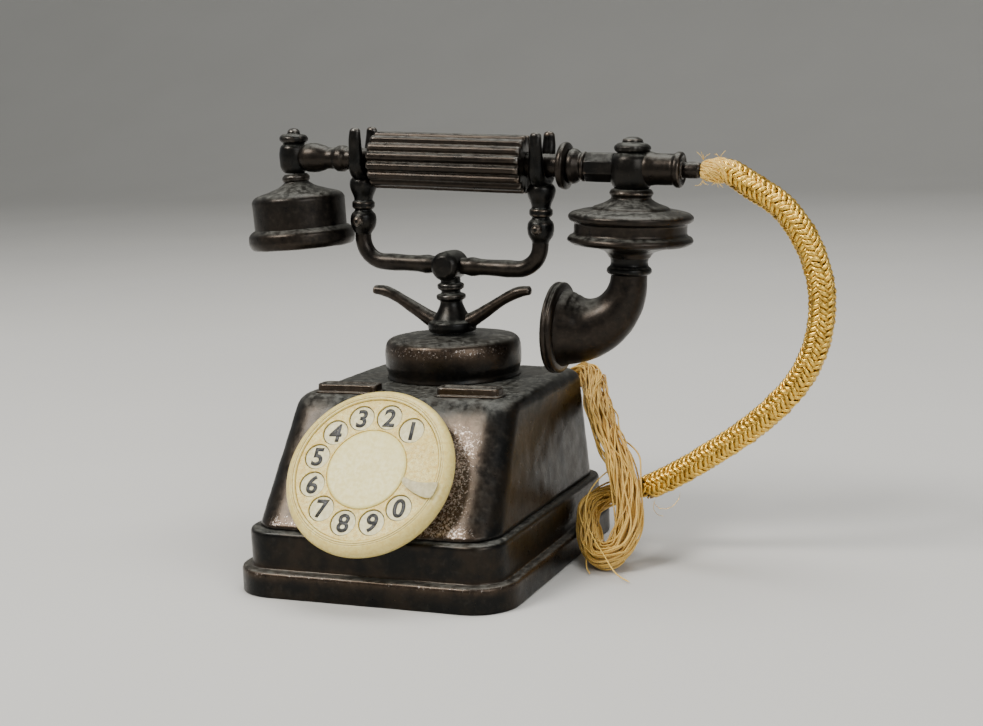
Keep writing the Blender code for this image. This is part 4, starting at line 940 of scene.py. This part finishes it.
def pad_shape():
    """An oblong pad: a low skirt, a raised rim, and a dished top."""
    levels = rounded([(-0.25, 0, 0), (-0.25, 0.28, 0.12), (0.12, 0.36, 0.1), (0.18, 1.5, 0.3),
                      (0.85, 1.5, 0.2), (1.05, 1.3, 0.2), (1.8, 1.27, 0)], steps=4)
    rings = []
    for inset, z in finer(levels, 0.2):
        half_x, half_y = 5.6 - inset, 1.95 - inset
        rings.append(ring_small(half_x, half_y, max(0.12, 1.15 - inset * 0.6), z))
    return lofted(rings)


def ring_small(half_x, half_y, corner, z):
    corner = min(corner, half_x * 0.98, half_y * 0.98)
    points = []
    for x, y, start in ((half_x - corner, half_y - corner, 0), (-half_x + corner, half_y - corner, 90),
                        (-half_x + corner, -half_y + corner, 180), (half_x - corner, -half_y + corner, 270)):
        for k in range(8):
            a = math.radians(start + 90 * k / 7)
            points.append((x + corner * math.cos(a), y + corner * math.sin(a)))
    long = []
    for i, p in enumerate(points):
        long.append((*p, z))
        if i % 16 == 7:
            q = points[(i + 1) % len(points)]
            long += [(p[0] + (q[0] - p[0]) * k / 18, p[1] + (q[1] - p[1]) * k / 18, z) for k in range(1, 18)]
    return long


# The copper band along the flange's top edge, rear part excepted, is a painted highlight.
piece("plinth", make_plinth(), BRONZE_CASE, "base", ["plinth"], rough=0.05,
      rub_and_painted_light=lambda p: 0.42 * math.exp(-(((p.z - 3.9) / 0.8) ** 2)) if p.y < 5 else 0.1)
piece("case", make_case(), BRONZE_CASE, "base", ["case_shell"], rub_and_painted_light=slope_rub, rough=0.07)
for side, sign in (("left", -1), ("right", 1)):
    piece(f"top_pad_{side}", pad_shape(), BRONZE, "base", [f"top_pad_{side}"], rough=0.03,
          matrix=at(sign * 10.9, -8.12, 30.0), rub_and_painted_light=lambda p: 0.35)
gland_profile = rounded([(1.55, 1.9, 0), (2.1, 1.9, 0.3), (2.6, 1.2, 0.4), (2.6, 0.1, 0), (1.55, 0.1, 0)],
                        closed=True)
piece("cord_gland", turned(gland_profile, 48, True, 0.15), BRONZE, "base", ["cord_gland"],
      matrix=at(*GLAND) @ BACKWARD @ Matrix.Rotation(BACK_LEAN, 4, "X"))

# ------------------------------------------------------------------ drum, column and horns

DRUM_LINE = rounded([
    (0, 7.3, 0), (4.2, 7.28, 0), (4.9, 7.12, 0.3), (6.2, 7.12, 0.3), (6.9, 7.2, 0.4), (9.6, 7.0, 0.5),
    (11.55, 6.7, 1.5), (12.0, 4.9, 0.8), (11.95, 1.9, 0.8), (11.5, 0.9, 0.4), (11.75, 0.0, 0.2), (0, 0, 0),
], steps=6)
# The copper band round the drum's bulge, stronger at the front, is a painted highlight.
piece("drum", turned(DRUM_LINE, 128, longest=0.25), BRONZE_CASE, "base", ["drum"], rough=0.06,
      matrix=at(0, 11, 30.05),
      rub_and_painted_light=lambda p: 0.5 * math.exp(-(((p.z - 35.4) / 1.4) ** 2)) * (1 if p.y < 8 else 0.4))

COLUMN_LINE = rounded([
    (0, 11.2, 0), (1.7, 11.2, 0.2), (1.75, 8.55, 0.2), (2.35, 8.35, 0.3), (2.35, 7.5, 0.3), (1.7, 7.2, 0.25),
    (1.7, 6.75, 0.2), (2.6, 6.45, 0.35), (2.6, 5.75, 0.35), (1.9, 5.4, 0.4), (2.05, 4.6, 0.5),
    (2.7, 3.2, 1.2), (3.5, 2.0, 0.6), (4.2, 1.7, 0.4), (4.3, 0.7, 0.4), (4.05, 0.0, 0.2), (0, 0, 0),
], steps=6)
BOSS_LINE = rounded([
    (0, 3.45, 0), (1.7, 3.4, 0.4), (2.15, 3.05, 0.4), (2.55, 2.5, 0.6), (2.62, 0, 0.9), (2.55, -2.6, 0.7),
    (2.1, -3.2, 0.5), (0, -3.2, 0),
], steps=6)
column = joined(
    moved(turned(COLUMN_LINE, 64, longest=0.2), at(0, 11, 37.85)),
    moved(turned(BOSS_LINE, 64, longest=0.2), at(*PIVOT) @ FORWARD),
)
piece("column", column, BRONZE_TOP, "base", ["column"], rough=0.04)

for side, sign in (("left", -1), ("right", 1)):
    route = [(sign * x, 11, z) for x, z in ((2.6, 39.2), (4.6, 40.3), (7.4, 42.0), (10.3, 43.75),
                                            (12.6, 44.75), (14.6, 45.05))]
    line = smooth_line(route, 40)
    along = np.linspace(0, 1, 40)
    size = np.interp(along, (0, 0.25, 0.6, 0.85, 1), (1.45, 1.15, 0.92, 0.98, 0.78))
    horn = swept(line, size, 24, flat=1.15, cap=0.5)
    piece(f"horn_{side}", horn, BRONZE_TOP, "base", [f"horn_{side}"], rough=0.06,
          rub_and_painted_light=lambda p: 0.2)

# ------------------------------------------------------------------ yoke

corner = ARM - 4.2
bend = [(corner + 4.2 * math.sin(a), -SHAFT_RISE + 4.2 - 4.2 * math.cos(a))
        for a in (math.radians(6 * k) for k in range(16))]
half = [(x, z) for x, z in finer([(0.0, -SHAFT_RISE), (corner, -SHAFT_RISE)], 0.5)[:-1]] + bend + [(ARM,
                                                                                                    -12.4)]
rod_line = [(-x, 0, z) for x, z in reversed(half[1:])] + [(x, 0, z) for x, z in half]
rod_size = [1.42 + 0.24 * math.exp(-((abs(x) - 4.3) / 1.1) ** 2)
            + 0.12 * math.exp(-((abs(x) - 10.8) / 1.5) ** 2)
            for x, _, z in rod_line]
piece("yoke_rod", swept(rod_line, rod_size, 28), BRONZE_TOP, "yoke", ["yoke_rod"],
      matrix=HANDSET, rough=0.04, rub_and_painted_light=lambda p: 0.1)

POST_LINE = rounded([
    (0, -3.0, 0), (1.7, -3.0, 0.3), (2.35, -3.6, 0.4), (2.45, -4.6, 0.5), (2.25, -5.4, 0.6),
    (1.75, -6.5, 0.8),
    (1.6, -7.2, 0.2), (2.0, -7.5, 0.3), (2.0, -8.5, 0.3), (1.5, -8.85, 0.2), (1.6, -9.1, 0.2),
    (2.2, -9.7, 0.7), (2.35, -10.9, 0.9), (2.15, -12.0, 0.7), (1.5, -12.9, 0.5), (1.35, -13.4, 0.2),
    (0, -13.5, 0),
], steps=6)
BUTTON_LINE = rounded([(0, 2.95, 0), (0.45, 2.9, 0.2), (0.95, 2.5, 0.3), (1.0, 1.9, 0.1), (0, 1.7, 0)],
                      steps=5)
KEEPER = [(3.1 * math.cos(math.radians(a)), 2.9 * math.sin(math.radians(a))) for a in range(180, 361, 9)]
PRONG = [(-3.35, 4.9), (-3.4, 3.6), (-3.2, 1.8)] + KEEPER + [(3.2, 1.8), (3.4, 3.6), (3.35, 4.9)]
for side, sign in (("left", -1), ("right", 1)):
    here = HANDSET @ at(sign * ARM, 0, 0)
    piece(f"post_{side}", turned(POST_LINE, 56, longest=0.2), BRONZE_TOP, "yoke", [f"post_{side}"],
          matrix=here, rough=0.04)
    piece(f"post_button_{side}", turned(BUTTON_LINE, 40, longest=0.15), BRONZE_TOP, "yoke",
          [f"post_button_{side}"], matrix=here @ at(0, 0, -10.8) @ FORWARD)
    line = smooth_line([(0, y, z) for y, z in PRONG], 70)
    size = np.interp(np.linspace(0, 1, 70), (0, 0.08, 0.25, 0.5, 0.75, 0.92, 1),
                     (1.0, 1.15, 1.3, 1.7, 1.3, 1.15, 1.0))
    fork = swept(line, size, 28, flat=0.74, cap=0.8, first=(1, 0, 0))
    piece(f"fork_{side}", fork, BRONZE_TOP, "yoke", [f"fork_{side}"], matrix=here, rough=0.06)

# ------------------------------------------------------------------ handset


def grip_shape():
    """A tube with sixteen round reeds, softened towards its ends."""
    ribs, half, per = 16, 14.15, 14
    places = np.concatenate([-half + np.array((0, 0.03, 0.12, 0.28, 0.5)),
                             np.linspace(-half + 1.0, half - 1.0, 34),
                             half - np.array((0.5, 0.28, 0.12, 0.03, 0))])
    rings = [[(x, 2.2 * math.cos(t), 2.2 * math.sin(t)) for t in
              (2 * math.pi * k / (ribs * per) for k in range(ribs * per))] for x in (half, 0, -half)]
    for x in places:
        left = half - abs(x)
        soft = min(1.0, left / 0.5)
        shoulder = 0.42 * (1 - math.sqrt(max(0.0, 1 - (1 - soft) ** 2)))
        row = []
        for k in range(ribs * per):
            t = 2 * math.pi * k / (ribs * per)
            share = (k % per) / per
            crest = abs(math.cos(math.pi * share)) ** 5
            row.append((x, (5.0 - shoulder - 0.62 * crest) * math.cos(t),
                        (5.0 - shoulder - 0.62 * crest) * math.sin(t)))
        rings.append(row)
    return lofted(rings, loop=True)


def along_axis(name, points, nodes, steps=56, finish=BRONZE_TOP, longest=0.2, rough=0.04, spot=None):
    """A piece turned about the handset's shaft. Its heights are places along X."""
    piece(name, turned(rounded(points, steps=6), steps, longest=longest), finish, "handset", nodes,
          matrix=(spot or HANDSET) @ ALONG, rough=rough, rub_and_painted_light=lambda p: 0.12)


def upright_piece(name, points, nodes, spot, steps=72, longest=0.22, rough=0.05, rub_and_painted_light=None):
    piece(name, turned(rounded(points, steps=6), steps, longest=longest), BRONZE_TOP, "handset", nodes,
          matrix=spot, rough=rough, rub_and_painted_light=rub_and_painted_light)


piece("grip", grip_shape(), BRONZE_TOP, "handset", ["grip"], matrix=HANDSET, rough=0.04,
      rub_and_painted_light=lambda p: 0.16)
along_axis("handset_shaft", [
    (0, 20.0, 0), (1.95, 20.0, 0.2), (1.95, -19.8, 0.4), (2.35, -20.4, 0.4), (2.3, -21.6, 0.4),
    (1.9, -22.2, 0.5), (1.85, -23.6, 0.6), (2.3, -24.6, 0.7), (2.65, -26.2, 1.0), (2.55, -27.8, 0.9),
    (1.9, -29.0, 0.6), (0, -29.6, 0),
], ["handset_shaft"])
along_axis("shaft_collar", [
    (0, 21.75, 0), (3.2, 21.75, 0.3), (3.95, 21.4, 0.45), (4.05, 20.9, 0.4), (3.8, 20.25, 0.4), (0, 20.25, 0),
], ["shaft_collar"])
along_axis("shaft_sleeve", [
    (0, 24.75, 0), (2.35, 24.75, 0.25), (2.6, 24.3, 0.25), (2.25, 23.8, 0.25), (2.55, 23.4, 0.3),
    (3.05, 22.7, 0.5), (2.9, 21.8, 0.3), (0, 21.7, 0),
], ["shaft_sleeve"])


def faceted_shape():
    """An eight-sided rod with softened edges."""
    rings = []
    for x, grow in ((24.7, -0.25), (24.8, -0.1), (25.0, 0), (26.2, 0.02), (27.6, 0.0), (29.2, 0.0),
                    (30.2, -0.1)):
        row = []
        for k in range(96):
            t = 2 * math.pi * k / 96
            flat = 2.42 / max(0.93, math.cos((t + math.pi / 8) % (math.pi / 4) - math.pi / 8))
            row.append((x, (flat + grow) * math.cos(t), (flat + grow) * math.sin(t)))
        rings.append(row)
    return lofted(rings)


piece("faceted_shaft", faceted_shape(), BRONZE_TOP, "handset", ["faceted_shaft"],
      matrix=HANDSET,
      rough=0.05)
along_axis("cord_tube", [
    (0, 41.35, 0), (1.5, 41.35, 0.1), (1.7, 40.9, 0), (2.4, 41.35, 0.2), (2.95, 41.1, 0.3), (3.0, 40.3, 0.35),
    (2.6, 39.8, 0.3), (2.65, 36.6, 0.5), (2.9, 35.6, 0.4), (2.7, 33.6, 0), (0, 33.4, 0),
], ["cord_tube"])
along_axis("cord_nub", [
    (0, 44.6, 0), (0.9, 44.5, 0.3), (1.35, 44.0, 0.4), (1.4, 42.2, 0.3), (1.25, 41.0, 0), (0, 40.9, 0),
], ["cord_nub"], steps=32, rough=0.06)

upright_piece("receiver_knuckle", [
    (0, 2.3, 0), (1.9, 2.3, 0.3), (2.45, 1.8, 0.6), (2.65, 0.2, 1.4), (2.4, -2.1, 0.6), (1.9, -2.9, 0.3),
    (0, -2.95, 0),
], ["receiver_knuckle"], HANDSET @ at(KNUCKLE_L, 0, 0))
upright_piece("transmitter_knuckle", [
    (0, 2.55, 0), (2.8, 2.55, 0.5), (3.5, 1.8, 0.9), (3.85, 0, 1.6), (3.55, -2.3, 0.9), (2.9, -3.4, 0.5),
    (0, -3.5, 0),
], ["transmitter_knuckle"], HANDSET @ at(KNUCKLE_R, 0, 0))


def finial(radius, base, dome):
    """A thick rounded disc on a short neck, with a domed button on top."""
    return [
        (0, base + 3.25, 0), (dome * 0.5, base + 3.2, 0.3), (dome * 0.95, base + 2.8, 0.3),
        (dome, base + 2.25, 0.2),
        (radius * 0.82, base + 2.15, 0.4), (radius * 1.02, base + 1.6, 0.4), (radius, base + 1.0, 0.4),
        (radius * 0.84, base + 0.62, 0.3), (radius * 0.72, base + 0.45, 0.2), (radius * 0.72, base - 0.3, 0),
        (0, base - 0.4, 0),
    ]


upright_piece("receiver_finial", finial(2.55, 1.85, 1.15), ["receiver_finial"],
              HANDSET @ at(KNUCKLE_L, 0, 0), 56,
              0.14)
upright_piece("transmitter_finial", finial(3.05, 1.95, 1.75), ["transmitter_finial"],
              HANDSET @ at(KNUCKLE_R, 0, 0), 56, 0.14)
cup_line = rounded([
    (0, -3.0, 0), (2.0, -3.0, 0.2), (2.55, -3.5, 0.3), (2.5, -4.2, 0.3), (2.2, -4.5, 0.3), (3.2, -5.3, 0.8),
    (6.0, -6.2, 0.9), (7.6, -6.65, 0.7), (8.35, -7.4, 0.7), (8.3, -12.9, 0), (7.2, -12.8, 0), (7.2, -8.2, 0),
    (0, -8.2, 0),
], steps=6)
piece("receiver_cup", turned(cup_line, 112, longest=0.25), BRONZE_TOP, "handset", ["receiver_cup"],
      matrix=RECEIVER, rough=0.06, rub_and_painted_light=lambda p: 0.1)
cap_line = rounded([
    (8.25, -12.55, 0.2), (8.8, -12.85, 0.3), (9.5, -13.5, 0.7), (9.6, -15.2, 0.7), (9.0, -16.2, 0.5),
    (7.0, -16.2, 0.4), (6.1, -15.6, 0.3), (6.1, -14.6, 0.2), (7.1, -13.0, 0),
], closed=True, steps=6)
piece("receiver_cap", turned(cap_line, 112, True, 0.25), BRONZE_TOP, "handset", ["receiver_cap"],
      matrix=RECEIVER, rough=0.06, rub_and_painted_light=lambda p: 0.16)

upright_piece("transmitter_capsule", [
    (0, -3.4, 0), (3.3, -3.4, 0.3), (3.75, -4.1, 0.3), (3.2, -4.9, 0.4), (4.4, -5.7, 0.8), (6.3, -6.35, 0.4),
    (6.7, -6.85, 0.25), (8.0, -6.85, 0.3), (8.5, -6.95, 0.3), (9.9, -7.3, 0.4), (10.55, -7.9, 0.4),
    (10.3, -8.7, 0.3), (9.4, -9.0, 0.4), (9.4, -10.9, 0.5), (10.3, -11.3, 0.3), (10.6, -12.0, 0.4),
    (9.8, -12.6, 0.5), (6.6, -13.0, 0.7), (4.0, -13.8, 0.6), (3.4, -14.9, 0.3), (0, -15.0, 0),
], ["transmitter_capsule"], TRANSMITTER, 128, 0.22, 0.06, lambda p: 0.14)
upright_piece("mouthpiece_collar", [
    (0, -14.7, 0), (3.3, -14.7, 0.2), (3.1, -15.6, 0.4), (3.2, -16.2, 0.3), (3.75, -16.6, 0.3),
    (3.8, -17.3, 0.3), (3.2, -17.7, 0.2), (0, -17.7, 0),
], ["mouthpiece_collar"], TRANSMITTER, 64, 0.2)

DROP, BEND, FACE = 27.5, 9.2, 19.4


def mouthpiece_shape():
    """A curved horn: its outside from neck to bell, then its bore back up inside."""
    route = [(KNUCKLE_R, 0, -16.7)] + [
        (KNUCKLE_R - BEND + BEND * math.cos(a), 0, -DROP + BEND - BEND * math.sin(a))
        for a in (math.radians(10 * k) for k in range(10))
    ] + [(22.4, 0, -DROP), (FACE + 1.2, 0, -DROP)]
    line = smooth_line(route, 64)
    share = np.linspace(0, 1, 64)
    outer = 3.0 + 3.9 * share**1.6
    path, tangent, u, v = frames(line)
    count = 64

    def row(i, radius):
        return [tuple(path[i] + radius * (u[i] * math.cos(t) + v[i] * math.sin(t)))
                for t in (2 * math.pi * k / count for k in range(count))]

    rings = [row(0, 0.05)] + [row(i, outer[i]) for i in range(64)]
    rings += [row(i, outer[i] - 1.1) for i in range(63, 11, -1)] + [row(12, 0.05)]
    return lofted(rings)


piece("mouthpiece_horn", mouthpiece_shape(), BRONZE_TOP, "handset", ["mouthpiece_horn"],
      matrix=HANDSET, rough=0.07, rub_and_painted_light=lambda p: 0.14)
rim_line = rounded([
    (6.1, 19.55, 0.2), (6.7, 19.4, 0.3), (7.6, 19.45, 0.3), (7.95, 19.9, 0.3), (7.6, 20.35, 0.2),
    (7.9, 20.8, 0.3),
    (7.5, 21.3, 0.3), (6.8, 21.5, 0.2), (5.9, 21.5, 0.2),
], closed=True, steps=6)
piece("mouthpiece_rim", turned(rim_line, 112, True, 0.15), BRONZE_TOP, "handset", ["mouthpiece_rim"],
      matrix=HANDSET @ at(0, 0, -DROP) @ ALONG, rough=0.05, rub_and_painted_light=lambda p: 0.16)

# ------------------------------------------------------------------ dial

FACE_Z, WHEEL_BASE, WHEEL_TOP = 4.75, 4.90, 5.10
DIAL_RADIUS, RIM_ROUND = 14.2, 1.75
RIM_MIDDLE = DIAL_RADIUS - RIM_ROUND
HOLES = [(9.3 * math.cos(a), 9.3 * math.sin(a)) for a in (math.radians(49 + 30 * k) for k in range(10))]


def plate_shape(outlines, low, high, edge):
    """A flat shape inside closed outlines, with rounded edges."""
    curve = bpy.data.curves.new("outline", "CURVE")
    curve.dimensions = "2D"
    curve.fill_mode = "BOTH"
    curve.extrude = (high - low) / 2 - edge
    curve.bevel_depth = edge
    curve.bevel_resolution = 3
    curve.offset = -edge
    for points in outlines:
        spline = curve.splines.new("POLY")
        spline.points.add(len(points) - 1)
        spline.use_cyclic_u = True
        for knot, (x, y) in zip(spline.points, points):
            knot.co = (x, y, 0, 1)
    return curve_shape(curve, (low + high) / 2)


def curve_shape(curve, height):
    holder = bpy.data.objects.new("outline", curve)
    bpy.context.scene.collection.objects.link(holder)
    graph = bpy.context.evaluated_depsgraph_get()
    mesh = bpy.data.meshes.new_from_object(holder.evaluated_get(graph))
    bpy.data.objects.remove(holder)
    bm = bmesh.new()
    bm.from_mesh(mesh)
    bmesh.ops.remove_doubles(bm, verts=bm.verts, dist=0.0005)
    verts = [(v.co.x, v.co.y, v.co.z + height) for v in bm.verts]
    faces = [tuple(v.index for v in f.verts) for f in bm.faces]
    bm.free()
    bpy.data.meshes.remove(mesh)
    return verts, faces


def circle(radius, count, x=0.0, y=0.0):
    return [(x + radius * math.cos(2 * math.pi * k / count), y + radius * math.sin(2 * math.pi * k / count))
            for k in range(count)]


def rim_height(r):
    return 3.65 + math.sqrt(max(0.0, RIM_ROUND**2 - (r - RIM_MIDDLE) ** 2))


plate_line = [(1.3, FACE_Z), (12.0, FACE_Z), (12.13, FACE_Z + 0.1), (12.16, 5.26)]
plate_line += [(12.26, 5.36), (12.46, 5.38), (12.53, 5.24), (12.60, 5.24), (12.67, rim_height(12.67))]
plate_line += [(12.82, rim_height(12.82)), (12.90, rim_height(12.90) - 0.12), (12.98, rim_height(12.98))]
plate_line += [(RIM_MIDDLE + RIM_ROUND * math.cos(a), 3.65 + RIM_ROUND * math.sin(a))
               for a in (math.radians(68 - 7 * k) for k in range(23))]
plate_line += [(12.2, 1.9), (1.3, 1.9)]
piece("number_plate", turned(plate_line, 144, True, 0.12), ivory("ivory_rim", "rim"), "base",
      ["number_plate"],
      matrix=DIAL, rough=0.015)

disc_line = rounded([(0, FACE_Z + 0.12), (2.06, FACE_Z + 0.12, 0.05), (2.16, FACE_Z + 0.05, 0.02),
                     (2.16, FACE_Z - 0.05), (0, FACE_Z - 0.05)], steps=3)
discs = joined(*[moved(turned(disc_line, 56, longest=0.14), at(x, y, 0)) for x, y in HOLES])


def disc_rim_shade(p):
    """0 on the dark line round each number's disc: painted shade under the rim of the wheel's hole."""
    q = DIAL.inverted() @ p
    near = min(math.hypot(q.x - x, q.y - y) for x, y in HOLES)
    return 0.0 if near > 2.02 else 1.0


piece("number_discs", discs, ivory("ivory_disc", "disc"), "base", matrix=DIAL,
      rub_and_painted_light=disc_rim_shade)

wheel = joined(
    plate_shape([circle(12.06, 160), circle(6.86, 120)] + [circle(2.2, 48, x, y) for x, y in HOLES],
                WHEEL_BASE, WHEEL_TOP, 0.04),
    turned([(1.3, WHEEL_BASE + 0.08), (6.95, WHEEL_BASE + 0.08), (6.95, WHEEL_BASE), (1.3, WHEEL_BASE)], 96,
           True,
           0.5),
)


def pitted(p):
    """The worn patch of the wheel between the first hole and the stop."""
    q = DIAL.inverted() @ p
    angle = math.degrees(math.atan2(q.y, q.x))
    return math.exp(-(((angle - 16) / 13) ** 2)) if -12 < angle < 40 else 0.0


piece("finger_wheel", wheel, ivory("ivory_wheel", "wheel"), "dial", ["finger_wheel"],
      matrix=DIAL,
      rub_and_painted_light=pitted)
cap_shape = turned(rounded([(0, 5.30), (3.5, 5.28, 1), (6.4, 5.24, 0.3), (6.66, 5.16, 0.12), (6.72, 5.0, 0),
                            (0, 5.0, 0)], steps=5), 112, longest=0.25)
piece("dial_cap", cap_shape, ivory("ivory_cap", "cap"), "dial", ["dial_cap"], matrix=DIAL,
      rough=0.02)

stop_outline = []
for r, a in ((7.05, -9.0), (7.6, -10.0), (8.6, -11.0), (9.8, -11.0), (11.0, -10.0), (12.2, -8.4),
             (12.9, -7.4),
             (13.1, -9.5), (13.1, -13.0), (13.1, -17.0), (12.95, -20.0), (12.2, -21.4), (11.0, -22.2),
             (9.6, -22.0),
             (8.4, -20.6), (7.5, -18.6), (7.1, -17.0), (6.95, -13.0)):
    a = math.radians(a)
    stop_outline.append((r * math.cos(a), r * math.sin(a)))
piece("finger_stop", plate_shape([stop_outline], 5.44, 5.74, 0.07), ivory("ivory_stop", "stop"), "base",
      ["finger_stop"], matrix=DIAL)


def digit_shape(text):
    curve = bpy.data.curves.new("digit", "FONT")
    curve.body = text
    curve.align_x = "CENTER"
    curve.size = 3.8
    curve.offset = 0.10
    curve.resolution_u = 8
    curve.extrude = 0.02
    verts, faces = curve_shape(curve, 0)
    low = min(v[1] for v in verts)
    high = max(v[1] for v in verts)
    left = min(v[0] for v in verts)
    right = max(v[0] for v in verts)
    grow = 3.15 / (high - low)
    return [((x - (left + right) / 2) * grow, (y - (low + high) / 2) * grow, z) for x, y, z in verts], faces


digits = joined(*[moved(digit_shape(text), at(x, y, FACE_Z + 0.13)) for text,
                  (x, y) in zip("1234567890", HOLES)])
piece("digits", digits, ink("dial_ink"), "base", matrix=DIAL)

# ------------------------------------------------------------------ CAD pieces that keep their own shape

BLACK_AND_SHADE = black_plastic("black_plastic")


def keep_shape(nodes, finish):
    """CAD nodes that show their own shape, with a finish from here."""
    for node in nodes:
        slots = frame["nodes"][node].data.materials
        slots.clear()
        slots.append(finish)


keep_shape(("bottom_plate", "bottom_screw_1", "bottom_screw_2", "bottom_screw_3", "bottom_screw_4",
            "column_nut", "dial_spindle", "spindle_clip", "return_spring"), STEEL)
# The dial seat's black finish is painted shade: it stands for the shadow ring under the dial.
keep_shape(("dial_seat", "receiver_diaphragm"), BLACK_AND_SHADE)
